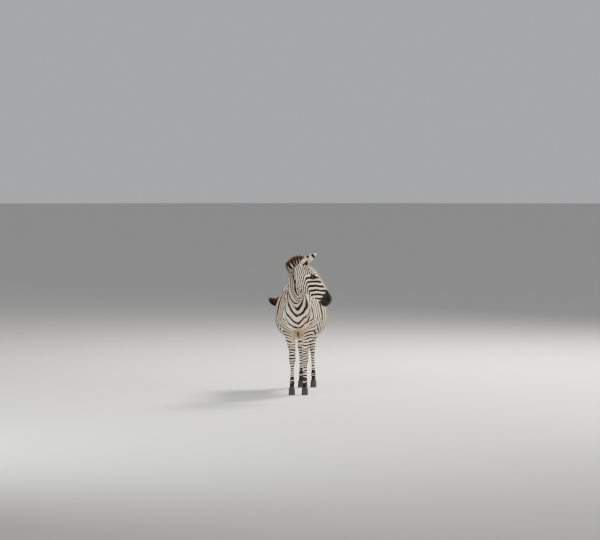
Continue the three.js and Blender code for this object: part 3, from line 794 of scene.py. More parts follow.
def soft_minimum(first, second, softness):
    """The smaller of two counts, rounded off where they are nearly the same."""
    return -softness * np.log(np.exp(-first / softness) + np.exp(-second / softness))


def body_count(points, by_foreleg):
    """The count of the barrel, bent into chevrons by the foreleg and backwards over the haunch, and
    the count that rises downwards, which the hind leg has."""
    height = points[:, 2]
    off_midline = np.abs(points[:, 0] - MIDLINE)
    arms = blend(0.22, 1.0, ramp(height, 0.60, 0.84))
    in_front = ramp(-behind_shoulder(points), 0.02, 0.16)
    in_front = in_front * ramp(height, 0.50, 0.66) * (1 - ramp(height, 0.78, 0.92))
    fallen = np.minimum(height - BREAST_SLOPE * (off_midline - 0.08) * in_front, FORK)
    fork = count_down(fallen, FORELEG_STRIPES) - count_down(np.array([FORK]), FORELEG_STRIPES)
    # The arms of a chevron lie lower before and behind the leg than on its outer side.
    forward = np.abs(barrel_count(points)) * (1 - (1 - arms) * by_foreleg) - fork * by_foreleg
    risen = height - HAUNCH_SLOPE * np.maximum(points[:, 1] - 0.30, 0) * ramp(height, 0.60, 0.85)
    risen = risen - HAUNCH_SPREAD * (off_midline - HAUNCH_SIDE) * ramp(height, 0.85, 1.10)
    downward = count_down(risen, HINDLEG_STRIPES) + FIRST_HAUNCH_STRIPE
    return soft_minimum(forward, downward, HAUNCH_BEND), downward


# %% [markdown]
# ## Where a stripe runs: the face
# On the side of the face each stripe is a crooked arm: it starts level at the nose bone and bends down
# over the cheek. The corner of the arm lies on a slanting line in front of the jaw. The forehead has
# fine stripes that run down to the eyes, and the bridge of the nose has long thin ones.

# %% Count the stripes of the face
BAND_TOP, BAND_GAP = -0.1985, 0.0485  # the level arms: the height of the first and their distance
CHEEK_START, CHEEK_GAP = -0.0275, 0.026  # the upright arms on the cheek
CHEEK_LEAN, LEAN_FROM = 0.26, -0.295  # how far they lean back downwards, and from which height
ARM_BEND = 0.22  # how round the corner of an arm is
NOSE_GAP = 0.015


def cosine(count):
    """1 in the middle of a black stripe, -1 in the middle of a white one."""
    return np.cos(2 * math.pi * count)


def face_patterns(points):
    """The patterns of the side of the face, the forehead and the nose, blended into one."""
    along, inwards, left = head_places(points)
    ahead = along * math.cos(HEAD_PITCH) - inwards * math.sin(HEAD_PITCH)
    height = -along * math.sin(HEAD_PITCH) - inwards * math.cos(HEAD_PITCH)
    level = (BAND_TOP - height) / BAND_GAP
    upright = (ahead - CHEEK_LEAN * (height - LEAN_FROM) - CHEEK_START) / CHEEK_GAP
    bent = soft_minimum(level, upright, ARM_BEND)
    side = cosine(bent + 0.10 * wobble(points, 0.11, 5))
    fine = upright + 0.20 * np.abs(left) / CHEEK_GAP
    forehead = cosine(fine + 0.12 * wobble(points, 0.06, 6))
    spread = blend(1.35, 0.85, ramp(along, 0.05, 0.40))
    nose = cosine(np.abs(left) / (NOSE_GAP * spread) + 0.5 + 0.08 * wobble(points, 0.05, 8))
    to_forehead = ramp(height, -0.180, -0.155)
    to_nose = 1 - ramp(np.abs(left), 0.024, 0.036)
    to_nose = to_nose * (1 - ramp(inwards, 0.03, 0.06))
    return blend(blend(side, forehead, to_forehead), nose, to_nose)


# %% [markdown]
# ## The stripe of every point
# All patterns are worked out for every point of the skin and mixed by soft weights, so that stripes of
# two regions meet in forks, as they do on the animal. Each point gets a number for its stripe, from -1
# for white to 1 for black. It could be painted by hand with a brush, but a formula gives clean edges at
# any size, and can be changed later.

# %% Mix the patterns of the regions


def soft_mask(chosen, rounds):
    """1 on the chosen points and 0 elsewhere, softened at the border."""
    return smoothed(chosen.astype(float), skin_edges, rounds)


def is_part(*names):
    """Which points of the skin belong to some parts of the body."""
    return np.isin(skin_owner, [FLESH.index(name) for name in names])


bent_points = skin_points + 0.010 * np.array([wobble(skin_points, 0.24, n) for n in (1, 2, 3)]).T
low_leg = 1 - ramp(skin_points[:, 2], 0.55, 0.75)
bent_points[:, 2] += 0.007 * low_leg * wobble(skin_points, 0.075, 13)
count_neck = neck_count(bent_points)
on_hindleg = soft_mask(is_part("leg_hind_left", "leg_hind_right"), 10)
is_head = soft_mask(is_part("head", "ear_left", "ear_right"), 5)
back, height = skin_points[:, 1], skin_points[:, 2]
neck_ends = blend(-1.55, -0.55, ramp(np.abs(skin_points[:, 0] - MIDLINE), 0.13, 0.19))
is_neck = ramp(count_neck, neck_ends - 0.2, neck_ends + 0.2) * ramp(height, 0.735, 0.765)
is_neck = np.maximum(is_neck, soft_mask(is_part("neck"), 4))
from_axis = np.abs(behind_shoulder(skin_points)) + 0.05 * wobble(skin_points, 0.16, 12)
by_foreleg = 1 - ramp(from_axis, 0.12, blend(0.46, 0.28, ramp(height, 0.66, 0.86)))
by_foreleg = np.maximum(by_foreleg, soft_mask(is_part("leg_fore_left", "leg_fore_right"), 8))
on_thigh = on_hindleg * (1 - ramp(height, 0.70, 0.88))
count_body, count_hindleg = body_count(bent_points, by_foreleg)
stripe = blend(cosine(count_body), cosine(count_hindleg), on_thigh)
stripe = blend(stripe, cosine(count_neck + 0.06 * wobble(skin_points, 0.1, 4)), is_neck)
stripe = stripe - 0.35 * bump(is_neck, 0.5, 0.25)  # no thin black lines where the patterns meet
stripe = blend(stripe, face_patterns(skin_points), is_head)
print("the neck has", round(float(is_neck.mean()) * 100), "% of the points, the head",
      round(float(is_head.mean()) * 100), "%")

# %% [markdown]
# ## The spine and the tail
# A dark line runs along the spine from the middle of the back to the tail, and the dock of the tail is
# ringed. The rings are counted along a bent line through the dock, as the tail curves.

# %% Line the spine and ring the dock
DOCK_RING = 0.036  # from one ring to the next
DOCK_BEND = [[0.11, -0.07, 0.03], [0.0, 0.07, 0.07], [-0.13, 0.07, -0.06]]  # from the dock's middle


def along_line(points, line):
    """How far each point lies along a line of straight stretches, as a length from its start."""
    line = np.asarray(line, float)
    lengths = lengths_along(line)
    nearest = np.full(len(points), np.inf)
    place = np.zeros(len(points))
    for i, step in enumerate(np.diff(line, axis=0)):
        length = np.linalg.norm(step)
        share = (points - line[i]) @ step / length ** 2
        # The first stretch goes on backwards and the last one forwards.
        first, last = i == 0, i == len(line) - 2
        share = np.clip(share, -9 if first else 0, 9 if last else 1)
        gap = np.linalg.norm(points - line[i] - share[:, None] * step, axis=1)
        nearer = gap < nearest
        nearest[nearer] = gap[nearer]
        place[nearer] = (lengths[i] + share * length)[nearer]
    return place


off_spine = np.abs(skin_points[:, 0] - MIDLINE)
is_dock = soft_mask(is_part("tail_dock"), 3)
dock_length = along_line(skin_points, middle_of("tail_dock") + DOCK_BEND)
stripe = blend(stripe, cosine(dock_length / DOCK_RING), is_dock)
spine = bump(off_spine, 0, 0.013) * ramp(height, 1.15, 1.2) * ramp(back, -0.15, 0.0)
stripe = stripe + 1.6 * spine * (1 - is_dock)
print("the spine's line takes", int((spine > 0.5).sum()), "points")

# %% [markdown]
# ## How wide the black is
# On the neck, the face and the lower legs the black stripes are as wide as the white ones or wider.
# They get thin towards the belly and on the inner sides of the legs, and the breast between the forelegs
# is plain. Adding a little to the number of a point widens the black there, and taking away thins it.

# %% Widen and thin the black
width = -0.12 + 0.16 * wobble(skin_points, 0.3, 9) * (1 - 0.8 * is_neck)
width = width - 0.20 * is_neck * (1 - ramp(height, 0.98, 1.12)) + 0.10 * is_neck * ramp(height, 1.1, 1.2)
width = width + 0.18 * is_head
belly = (1 - ramp(height, 0.64, 0.76)) * (1 - ramp(off_spine, 0.05, 0.14)) * is_part("trunk")
by_elbow = bump(back, -0.05, 0.16) * (1 - ramp(height, 0.64, 0.72)) * is_part("trunk")
belly = np.maximum(belly, 1.1 * by_elbow)
# On the breast between the forelegs the stripes fade to plain cream; further down, this mask also browns and
# darkens it as painted shade between the forelegs.
breast = (1 - ramp(off_spine, 0.035, 0.10)) * ramp(height, 0.62, 0.68) * (1 - ramp(height, 0.752, 0.782))
breast = breast * (1 - ramp(back, -0.45, -0.35))
width = width - 0.9 * smoothed(belly, skin_edges, 4)
for leg in LEGS:
    mine = is_part("leg_" + leg)
    width = width + 0.22 * mine * (1 - ramp(height, 0.50, 0.68))
    outwards = in_leg(skin_points, leg)[:, 0]
    inner = (1 - ramp(outwards, -0.05, 0.02)) * ramp(height, 0.42, 0.60) * mine
    width = width - 0.35 * inner
stripe = stripe + smoothed(width, skin_edges, 3)
stripe = blend(stripe, -0.6, smoothed(breast, skin_edges, 4))
# A dark line along the midline of the belly, as zebras have it; where it runs forward between the forelegs
# it is painted shade of the groove there.
midline_stripe_and_groove_shade = bump(off_spine, 0, 0.010) * (1 - ramp(height, 0.715, 0.775))
stripe = stripe + 1.5 * midline_stripe_and_groove_shade * is_part("trunk")
print("black covers", round(float((stripe > 0).mean()) * 100), "% of the points so far")

# %% [markdown]
# ## Feet, muzzle, eyes and ears
# These are dark or plain without regard to the stripes round them. The pastern is black down to the
# hoof, and a wide band rings the fetlock. The muzzle is bare dark skin with an uneven upper edge. The
# eye lies in a black patch. The back of each ear is pale, with a black band below its tip and a thin one
# at its foot.

# %% Darken the feet, the muzzle, the eyes and the ears
on_leg_parts = is_part(*("leg_" + leg for leg in LEGS))
feet = on_leg_parts * (1 - ramp(height, 0.120, 0.150))
fetlock = on_leg_parts * bump(height, 0.185, 0.022)
stripe = stripe + 2.0 * feet + 1.3 * fetlock

along, inwards, left = head_places(skin_points)
muzzle_edge = 0.405 + 0.40 * np.maximum(inwards, 0) + 0.008 * wobble(skin_points, 0.04, 10)
muzzle = ramp(along, muzzle_edge - 0.012, muzzle_edge + 0.012) * head_rows
muzzle = smoothed(muzzle, skin_edges, 2)
from_eye = [np.linalg.norm((skin_points - EYES[side]) * [1, 1, 1.25], axis=1) for side in EYES]
eye_patch = (1 - ramp(np.min(from_eye, axis=0), 0.029, 0.041)) * head_rows
# The breast between the forelegs takes some of the dark skin's colour as painted shade.
dark = np.max([muzzle, lid_shade, 0.9 * inside_nostril, in_mouth, 0.3 * breast], axis=0)
stripe = stripe + 2.2 * eye_patch

for side in EYES:
    mine = is_part("ear_" + side)
    share = in_ear(skin_points, side)[0]
    band = bump(share, 0.76, 0.13) + 0.9 * bump(share, 0.16, 0.05) - 0.70
    stripe = np.where(mine, blend(2.2 * band, -0.35, smoothed(ear_inside, skin_edges, 2)), stripe)
stripe = np.clip(stripe, -1.5, 1.5)
print("dark skin covers", round(float((dark > 0.5).mean()) * 100), "% of the points")

# %% [markdown]
# ## How warm the white is
# The cream is browner on the belly and orange above the muzzle. High on the croup it is warmer, as painted
# warm light on the top of the haunch. On the breast between the forelegs it is browner, partly the coat's
# own tone and partly painted shade. This third number, with the stripe and the dark skin (which also carries
# painted shade on the breast), is kept in the mesh, where the materials read them. The tufts of the coat
# take the same numbers at their roots.

# %% Tint the white and keep the numbers
warm = 0.30 + 0.25 * wobble(skin_points, 0.35, 11)
warm = warm + 0.5 * bump(along, muzzle_edge - 0.022, 0.022) * head_rows * (1 - ramp(inwards, 0.03, 0.12))
# The lower trunk is browner; the breast between the forelegs is browner still, partly its own tone and
# partly painted shade.
warm = warm + 0.35 * (1 - ramp(height, 0.66, 0.80)) * soft_mask(is_part("trunk"), 14) + 0.4 * breast
# High on the croup the cream is warmer: painted warm light falling on the top of the haunch.
warm = np.clip(warm + 0.15 * ramp(back, 0.3, 0.6) * ramp(height, 0.9, 1.1), 0, 1)
print("the warmth goes from", round(float(warm.min()), 2), "to", round(float(warm.max()), 2))


def keep_numbers(mesh, **numbers):
    """Stores numbers with every point of a mesh, where a material can read them by name."""
    for name, values in numbers.items():
        layer = mesh.attributes.new(name, "FLOAT", "POINT")
        layer.data.foreach_set("value", np.asarray(values, np.float32))


keep_numbers(skin_mesh, stripe=stripe, dark=dark, warm=warm)
put_points(skin_mesh, skin_points)
skin_mesh.update()

# %% [markdown]
# ## A shared effect: striped hair
# The skin and every tuft of the coat have the same colours, so one node group works them out. It takes
# the numbers kept in the mesh, roughens the edge of each stripe with fine noise, as single hairs cross
# it, and puts out a colour and a roughness. A second group gives the fine grain of flat hair.

# %% Node groups for hair
CREAM, WARM_CREAM = (0.79, 0.715, 0.60), (0.60, 0.43, 0.27)
BLACK, BROWN_BLACK = (0.014, 0.011, 0.010), (0.060, 0.030, 0.018)


def new_group(name, inputs, outputs):
    """A node group with named sockets, and the nodes that take its inputs and outputs."""
    group = bpy.data.node_groups.new(name, "ShaderNodeTree")
    for socket, kind, value in inputs:
        made = group.interface.new_socket(socket, in_out="INPUT", socket_type=kind)
        made.default_value = value
    for socket, kind in outputs:
        group.interface.new_socket(socket, in_out="OUTPUT", socket_type=kind)
    return group, group.nodes.new("NodeGroupInput"), group.nodes.new("NodeGroupOutput")


def feed(node, inputs):
    """Sets inputs of a node, each to a plain value or by a link from another node's socket."""
    for key, value in inputs.items():
        if isinstance(value, bpy.types.NodeSocket):
            node.id_data.links.new(value, node.inputs[key])
        else:
            node.inputs[key].default_value = value


def add_node(tree, kind, inputs=None, **settings):
    made = tree.nodes.new(kind)
    for key, value in settings.items():
        setattr(made, key, value)
    feed(made, inputs or {})
    return made


def maths(tree, operation, first, second=0.0, third=0.0):
    """A sum, a product or another operation on up to three values."""
    made = add_node(tree, "ShaderNodeMath", {0: first, 1: second, 2: third}, operation=operation)
    return made.outputs[0]


def noise(tree, scale, detail=2.0, place=None):
    """Soft noise from 0 to 1; the scale is about the number of its lumps in a metre."""
    place = place or add_node(tree, "ShaderNodeTexCoord").outputs["Object"]
    inputs = {"Vector": place, "Scale": scale, "Detail": detail}
    return add_node(tree, "ShaderNodeTexNoise", inputs).outputs["Fac"]


def mixed(tree, share, first, second):
    """A mix of two colours."""
    first, second = ((*colour, 1) if isinstance(colour, tuple) else colour for colour in (first, second))
    made = add_node(tree, "ShaderNodeMix", {0: share, 6: first, 7: second}, data_type="RGBA")
    return made.outputs[2]


def stretched(tree, value, low, high, start=0.0, end=1.0):
    """The start where the value is low, the end where it is high, and a straight change between."""
    made = add_node(tree, "ShaderNodeMapRange", {0: value, 1: low, 2: high, 3: start, 4: end})
    return made.outputs[0]


SINGLE, COLOUR = "NodeSocketFloat", "NodeSocketColor"
striped, given, out = new_group(
    "striped_hair",
    [("Stripe", SINGLE, 0.0), ("Dark", SINGLE, 0.0), ("Warm", SINGLE, 0.3), ("Softness", SINGLE, 0.10)],
    [("Color", COLOUR), ("Black", SINGLE), ("Roughness", SINGLE)],
)
strays = stretched(striped, noise(striped, 420, 1.0), 0.3, 0.7, -0.14, 0.14)
patches = stretched(striped, noise(striped, 38, 3.0), 0.3, 0.7, -0.12, 0.12)
wavered = maths(striped, "ADD", given.outputs["Stripe"], maths(striped, "ADD", strays, patches))
black_share = maths(striped, "DIVIDE", wavered, given.outputs["Softness"])
black_share = stretched(striped, black_share, -1.0, 1.0)
tinted = stretched(striped, noise(striped, 9, 3.0), 0.3, 0.7, -0.25, 0.25)
warmth = maths(striped, "ADD", given.outputs["Warm"], tinted)
clamped = add_node(striped, "ShaderNodeClamp", {0: warmth}).outputs[0]
cream = mixed(striped, clamped, CREAM, WARM_CREAM)
grain = stretched(striped, noise(striped, 900, 2.0), 0.25, 0.75, 0.80, 1.06)
cream = add_node(striped, "ShaderNodeVectorMath", {0: cream, 3: grain}, operation="SCALE").outputs[0]
brown = stretched(striped, noise(striped, 14, 3.0), 0.45, 0.75, 0.0, 0.6)
black = mixed(striped, brown, BLACK, BROWN_BLACK)
coat = mixed(striped, black_share, cream, black)
coat = mixed(striped, given.outputs["Dark"], coat, (0.020, 0.015, 0.013))
gloss = stretched(striped, noise(striped, 60, 2.0), 0.3, 0.7, 0.55, 0.68)
feed(out, {"Color": coat, "Black": black_share, "Roughness": gloss})

grained, given, out = new_group(
    "flat_hair_grain", [("Scale", SINGLE, 300.0), ("Strength", SINGLE, 1.0)], [("Height", SINGLE)]
)
where = add_node(grained, "ShaderNodeTexCoord").outputs["Object"]
squeezed = add_node(grained, "ShaderNodeMapping", {0: where, 3: (1.0, 0.45, 0.45)}).outputs[0]
hairs = noise(grained, given.outputs["Scale"], 3.0, squeezed)
lumps = noise(grained, 60, 1.0)
both = maths(grained, "MULTIPLY_ADD", lumps, 0.5, hairs)
feed(out, {"Height": maths(grained, "MULTIPLY", both, given.outputs["Strength"])})
print("node groups", striped.name, "and", grained.name)

# %% [markdown]
# ## The material of the coat
# The skin and the tufts share one way of building their material, with other numbers. The Principled
# shader takes the colour and the roughness from the group. A weak sheen gives the soft edge light of
# short hair, and the skin alone gets a fine relief from the second group.

# %% Dress the skin


def new_material(name):
    """A material with its node tree and its shader."""
    material = bpy.data.materials.new(name)
    material.use_nodes = True
    return material, material.node_tree, material.node_tree.nodes["Principled BSDF"]


def attribute(tree, name):
    return add_node(tree, "ShaderNodeAttribute", attribute_name=name).outputs["Fac"]


def bumped(tree, height, distance):
    """The normal of a surface with a fine relief; the distance is from its lows to its highs."""
    inputs = {"Height": height, "Distance": distance, "Strength": 1.0}
    return add_node(tree, "ShaderNodeBump", inputs).outputs["Normal"]


def coat_material(name, softness, relief, sheen):
    """Skin or tufts: striped hair with a fine grain."""
    material, tree, shader = new_material(name)
    inputs = {"Stripe": attribute(tree, "stripe"), "Dark": attribute(tree, "dark")}
    inputs |= {"Warm": attribute(tree, "warm"), "Softness": softness}
    hair = add_node(tree, "ShaderNodeGroup", inputs, node_tree=striped)
    feed(shader, {"Base Color": hair.outputs["Color"], "Roughness": hair.outputs["Roughness"]})
    feed(shader, {"Sheen Weight": sheen, "Sheen Roughness": 0.45, "Specular IOR Level": 0.28})
    if relief:
        grain = add_node(tree, "ShaderNodeGroup", {"Scale": 320.0}, node_tree=grained)
        feed(shader, {"Normal": bumped(tree, grain.outputs["Height"], relief)})
    return material


def shade_smooth(mesh):
    mesh.polygons.foreach_set("use_smooth", np.ones(len(mesh.polygons), bool))


skin_mesh.materials.append(coat_material("zebra_skin", 0.10, 0.0008, 0.06))
shade_smooth(skin_mesh)
skin = add_object("skin", skin_mesh)
print("the skin has", len(skin_mesh.polygons), "faces")

# %% [markdown]
# ## A flat map of the skin
# When the model is exported, its procedural colours are baked into pictures, and a picture needs a flat
# map of the surface. Each face is projected along the axis it faces most, and every body part has
# six such tiles, packed in rows on one square. A tuft later gets a tiny patch of this map at its root.

# %% Lay out the tiles
AXES = np.array([[1, 0, 0], [-1, 0, 0], [0, 1, 0], [0, -1, 0], [0, 0, 1], [0, 0, -1]], float)
FLAT = {0: (1, 2), 1: (1, 2), 2: (0, 2), 3: (0, 2), 4: (0, 1), 5: (0, 1)}
TILE_GAP = 0.01
SQUARE_GROWTH = 1.03  # the factor from one try of the square's size to the next


def tiles_of(owner, normals):
    """The tile of each face or root: its body part and the axis it faces."""
    return owner * 6 + (normals @ AXES.T).argmax(axis=1)


def flattened(points, tiles):
    """Two coordinates of each point, by the axis of its tile."""
    pairs = np.array([FLAT[i] for i in range(6)])[tiles % 6]
    return np.take_along_axis(points, pairs, axis=1)


def packed_tiles(flat, tiles):
    """Where each tile goes: rows of tiles, the tallest first, on a square that just holds them."""
    found = []
    for tile in np.unique(tiles):
        low, high = flat[tiles == tile].min(axis=0), flat[tiles == tile].max(axis=0)
        found.append((high[1] - low[1] + TILE_GAP, high[0] - low[0] + TILE_GAP, int(tile), low))
    found.sort(key=lambda row: -row[0])
    side = 1.0
    while True:
        side *= SQUARE_GROWTH
        x = y = row_height = 0.0
        places = {}
        for tall, wide, tile, low in found:
            if x + wide > side:
                x, y, row_height = 0.0, y + row_height, 0.0
            places[tile] = (np.array([x, y]) + TILE_GAP / 2 - low, side)
            x, row_height = x + wide, max(row_height, tall)
        if y + row_height <= side:
            return places


def on_map(points, tiles):
    """Map coordinates from 0 to 1."""
    shift = np.array([tile_places[t][0] if t in tile_places else (0, 0) for t in range(6 * len(FLESH))])
    return (flattened(points, tiles) + shift[tiles]) / tile_side


def faces_of(mesh):
    """The points at all corners of a mesh's faces in a row, and the number of corners of each face."""
    corners = np.empty(len(mesh.loops), np.int32)
    mesh.loops.foreach_get("vertex_index", corners)
    sizes = np.empty(len(mesh.polygons), np.int32)
    mesh.polygons.foreach_get("loop_total", sizes)
    return corners, sizes


corners, sizes = faces_of(skin_mesh)
starts = np.concatenate([[0], np.cumsum(sizes)[:-1]])
face_normals = np.empty(len(skin_mesh.polygons) * 3, np.float32)
skin_mesh.polygons.foreach_get("normal", face_normals)
face_tiles = tiles_of(skin_owner[corners[starts]], face_normals.reshape(-1, 3))
corner_tiles = np.repeat(face_tiles, sizes)
tile_places = packed_tiles(flattened(skin_points[corners], corner_tiles), corner_tiles)
tile_side = next(iter(tile_places.values()))[1]
skin_map = skin_mesh.uv_layers.new(name="OFBake")
skin_map.data.foreach_set("uv", on_map(skin_points[corners], corner_tiles).astype(np.float32).ravel())
print(len(tile_places), "tiles on a square of", round(tile_side, 2), "m")

# %% [markdown]
# ## Tufts, locks and other hair
# Hair that is exported has to be solid mesh. One function builds many closed spikes at once: each
# follows a row of middle points, with a small ring of three or four corners round each of them and a
# point at its tip. All spikes of a piece are one joined mesh, made from arrays.

# %% A builder for many closed spikes


def mesh_from(name, points, triangles, quads=None):
    """A mesh from arrays of triangles and squares."""
    mesh = bpy.data.meshes.new(name)
    quads = np.zeros((0, 4), int) if quads is None else quads
    mesh.vertices.add(len(points))
    put_points(mesh, points)
    loops = np.concatenate([triangles.ravel(), quads.ravel()]).astype(np.int32)
    mesh.loops.add(len(loops))
    mesh.loops.foreach_set("vertex_index", loops)
    totals = np.concatenate([np.full(len(triangles), 3), np.full(len(quads), 4)]).astype(np.int32)
    mesh.polygons.add(len(totals))
    mesh.polygons.foreach_set("loop_start", np.concatenate([[0], np.cumsum(totals)[:-1]]).astype(np.int32))
    mesh.polygons.foreach_set("loop_total", totals)
    mesh.update(calc_edges=True)
    return mesh


def spikes(name, paths, across, outward, widths, depths, corners=3):
    """paths: spikes x steps x 3. across and outward: the two directions of each ring, per spike.
    widths and depths: half sizes of the ring at each step, per spike; the last step is the tip."""
    count, steps, _ = paths.shape
    rings = steps - 1
    turn = 2 * math.pi * np.arange(corners) / corners + math.pi / 2
    side, up = np.cos(turn), np.sin(turn)
    body = (
        paths[:, :rings, None, :]
        + across[:, None, None, :] * (widths[:, :rings, None] * side)[..., None]
        + outward[:, None, None, :] * (depths[:, :rings, None] * up)[..., None]
    )
    points = np.concatenate([body.reshape(count, -1, 3), paths[:, -1:, :]], axis=1)
    each = rings * corners + 1
    first = (np.arange(count) * each)[:, None]
    triangles, quads = [], []
    ring = np.arange(corners)
    following = (ring + 1) % corners
    base = list(range(corners))[::-1]
    triangles += [[base[0], base[i], base[i + 1]] for i in range(1, corners - 1)]
    last = (rings - 1) * corners
    triangles += [[last + a, last + b, each - 1] for a, b in zip(ring, following)]
    for level in range(rings - 1):
        low, high = level * corners, (level + 1) * corners
        quads += [[low + a, low + b, high + b, high + a] for a, b in zip(ring, following)]
    triangles = (first[:, :, None] + np.array(triangles)[None]).reshape(-1, 3)
    quads = (first[:, :, None] + np.array(quads)[None]).reshape(-1, 4) if quads else None
    return mesh_from(name, points.reshape(-1, 3), triangles, quads), each


HALF_PATCH = 0.0015  # half the width of a patch, as a share of the square


def patch_map(mesh, roots, each):
    """Gives each spike a patch of the map at its root. The spike's foot is at the bottom of the patch
    and its tip at the top."""
    corner, _ = faces_of(mesh)
    inside = corner % each
    rise = inside / (each - 1)
    across = HALF_PATCH * np.cos(2.1 * inside) * (1 - rise)
    spread = np.array([across, 2 * HALF_PATCH * rise - HALF_PATCH]).T
    layer = mesh.uv_layers.new(name="OFBake")
    layer.data.foreach_set("uv", (roots[corner // each] + spread).astype(np.float32).ravel())


# %% [markdown]
# ## Which way the hair lies
# On the body hair lies backwards and down, on the legs down, on the neck away from the head, and on
# the face up from the nose. The direction is laid into the surface at every root.

# %% The lie of the coat
STRAY = 0.10  # how far the hair strays from its way


def lie_of(points, normals, owner):
    """The direction of the hair at each root."""
    way = np.tile([0.0, 0.85, -0.5], (len(points), 1))
    names = np.array(FLESH)[owner]
    way[np.char.startswith(names, "leg")] = (0, 0.12, -1)
    high = np.char.startswith(names, "leg") & (points[:, 2] > 0.75)
    way[high] = (0, 0.65, -0.75)
    way[names == "neck"] = (0.0, 0.75, -0.7)
    way[names == "head"] = -TO_LIPS
    way[np.char.startswith(names, "ear")] = OUT_OF_NOSE
    way[names == "tail_dock"] = (-0.8, 0.3, -0.4)
    front = (points[:, 1] < -0.50) & (names == "trunk")
    way[front] = (0, 0.25, -1)
    way = way + STRAY * np.array([wobble(points, 0.09, n) for n in (21, 22, 23)]).T
    way = way - (way * normals).sum(axis=1)[:, None] * normals
    return unit(way)


# %% [markdown]
# ## The coat
# A zebra's coat is about a centimetre long and lies flat. The fine grain of the skin's material gives
# most of it, and a thin layer of tufts all over gives the rest: it breaks the edges of the stripes and
# roughens the outline. The head, the ears and the legs have the shortest tufts. Roots are drawn at random
# by area. Each tuft takes the stripe, the darkness and the warmth of the skin at its root.

# %% Grow the tufts
COATS = {  # piece: parts of the skin, number of tufts, length and half width in millimetres, rise
    "coat_shoulders": (("trunk",), 45000, 12.0, 1.15, 0.07),
    "coat_rump": (("trunk",), 45000, 13.0, 1.2, 0.07),
    "coat_neck": (("neck",), 36000, 11.0, 1.05, 0.08),
    "coat_head": (("head",), 46000, 4.5, 0.5, 0.08),
    "coat_ears": (("ear_left", "ear_right"), 15000, 7.0, 0.55, 0.14),
    "coat_forelegs": (("leg_fore_left", "leg_fore_right"), 42000, 7.5, 0.8, 0.08),
    "coat_hindlegs": (("leg_hind_left", "leg_hind_right"), 48000, 8.5, 0.95, 0.08),
    "coat_dock": (("tail_dock",), 7000, 9.0, 0.8, 0.16),
}
HALFWAY = 0.0  # the trunk's coat is two pieces, before and behind this y
BALD = 0.3  # no tufts where the skin is barer than this
tuft_look = coat_material("zebra_tufts", 0.14, 0.0, 0.06)
skin_mesh.calc_loop_triangles()
skin_triangles = np.empty(len(skin_mesh.loop_triangles) * 3, np.int32)
skin_mesh.loop_triangles.foreach_get("vertices", skin_triangles)
skin_triangles = skin_triangles.reshape(-1, 3)
skin_normals = normals_of(skin_points)
first_side = skin_points[skin_triangles[:, 1]] - skin_points[skin_triangles[:, 0]]
second_side = skin_points[skin_triangles[:, 2]] - skin_points[skin_triangles[:, 0]]
areas = np.linalg.norm(np.cross(first_side, second_side), axis=1) / 2
triangle_owner = skin_owner[skin_triangles[:, 0]]
bald = np.max([lid_shade, inside_nostril, in_mouth], axis=0)


def at_roots(values, picked, shares):
    """Values of the skin's points, read off at the roots."""
    corner_values = values[skin_triangles[picked]]
    shares = shares if values.ndim == 1 else shares[:, :, None]
    return (corner_values * shares).sum(axis=1)


def roots_in(chosen, number):
    """Random roots on the chosen triangles, by area: the triangle and three shares of each, its place
    and the way the skin faces there."""
    weights = np.cumsum(areas * chosen)
    picked = np.searchsorted(weights, RNG.random(number) * weights[-1])
    shares = RNG.random((number, 2))
    folded = shares.sum(axis=1) > 1
    shares[folded] = 1 - shares[folded]
    shares = np.column_stack([1 - shares.sum(axis=1), shares])
    root, facing = (at_roots(values, picked, shares) for values in (skin_points, skin_normals))
    return picked, shares, root, facing


def coat_piece(name, parts, number, length, half_width, rise):
    """All tufts of some parts of the skin, as one mesh; the lengths are in millimetres."""
    chosen = np.isin(triangle_owner, [FLESH.index(part) for part in parts])
    if "trunk" in parts:
        chosen &= (skin_points[skin_triangles[:, 0], 1] > HALFWAY) == (name == "coat_rump")
    picked, shares, root, facing = roots_in(chosen & (bald[skin_triangles[:, 0]] < BALD), number)
    normal = unit(facing)
    way = lie_of(root, normal, triangle_owner[picked])
    across = np.cross(normal, way)
    way = unit(way + across * RNG.normal(0, 0.10, (number, 1)))
    across = np.cross(normal, way)
    long = MM * length * RNG.uniform(0.7, 1.25, number)
    if name == "coat_head":
        along = head_places(root)[0]
        long *= blend(1.5, 0.6, ramp(along, 0.10, 0.45))
    if name.endswith("legs"):
        long *= blend(0.7, 1.25, ramp(root[:, 2], 0.35, 0.95))
    lifted = rise * RNG.uniform(0.6, 1.5, number)
    tip = root + (way + normal * lifted[:, None]) * long[:, None]
    paths = np.stack([root - normal * 0.0001, tip], axis=1)
    wide = MM * half_width * RNG.uniform(0.7, 1.2, number)
    widths = np.stack([wide, 0 * wide], axis=1)
    mesh, each = spikes(name, paths, across, normal, widths, widths * 0.4)
    patch_map(mesh, on_map(root, tiles_of(triangle_owner[picked], normal)), each)
    numbers = {"stripe": stripe, "dark": dark, "warm": warm}
    kept = {key: np.repeat(at_roots(values, picked, shares), each) for key, values in numbers.items()}
    keep_numbers(mesh, **kept)
    mesh.materials.append(tuft_look)
    piece = add_object(name, mesh)
    print(name, number, "tufts,", len(mesh.polygons), "faces")
    return piece


pieces = [skin]
for name, row in COATS.items():
    parts, number, length, half_width, rise = row
    number = number
    pieces.append(coat_piece(name, parts, number, length, half_width, rise))

# %% [markdown]
# ## Eyeballs
# A zebra's eye looks almost black: a dark brown iris with a long level pupil fills the whole opening.
# The ball is built from rings round the way it looks, with a cornea that bulges a little, so the
# highlights move over it as on a wet eye. How far out a point lies gives the iris and the pupil, and a
# clear coat on the shader makes it wet.

# %% Make the eyeballs
EYE_RINGS, EYE_SPOKES = 26, 52
CORNEA = 0.028  # how far the cornea bulges, as a share of the radius
IRIS = 0.56  # half the angle that the iris fills, in radians
PUPIL = (0.34, 0.17)  # the same for the pupil, along the eye and across it


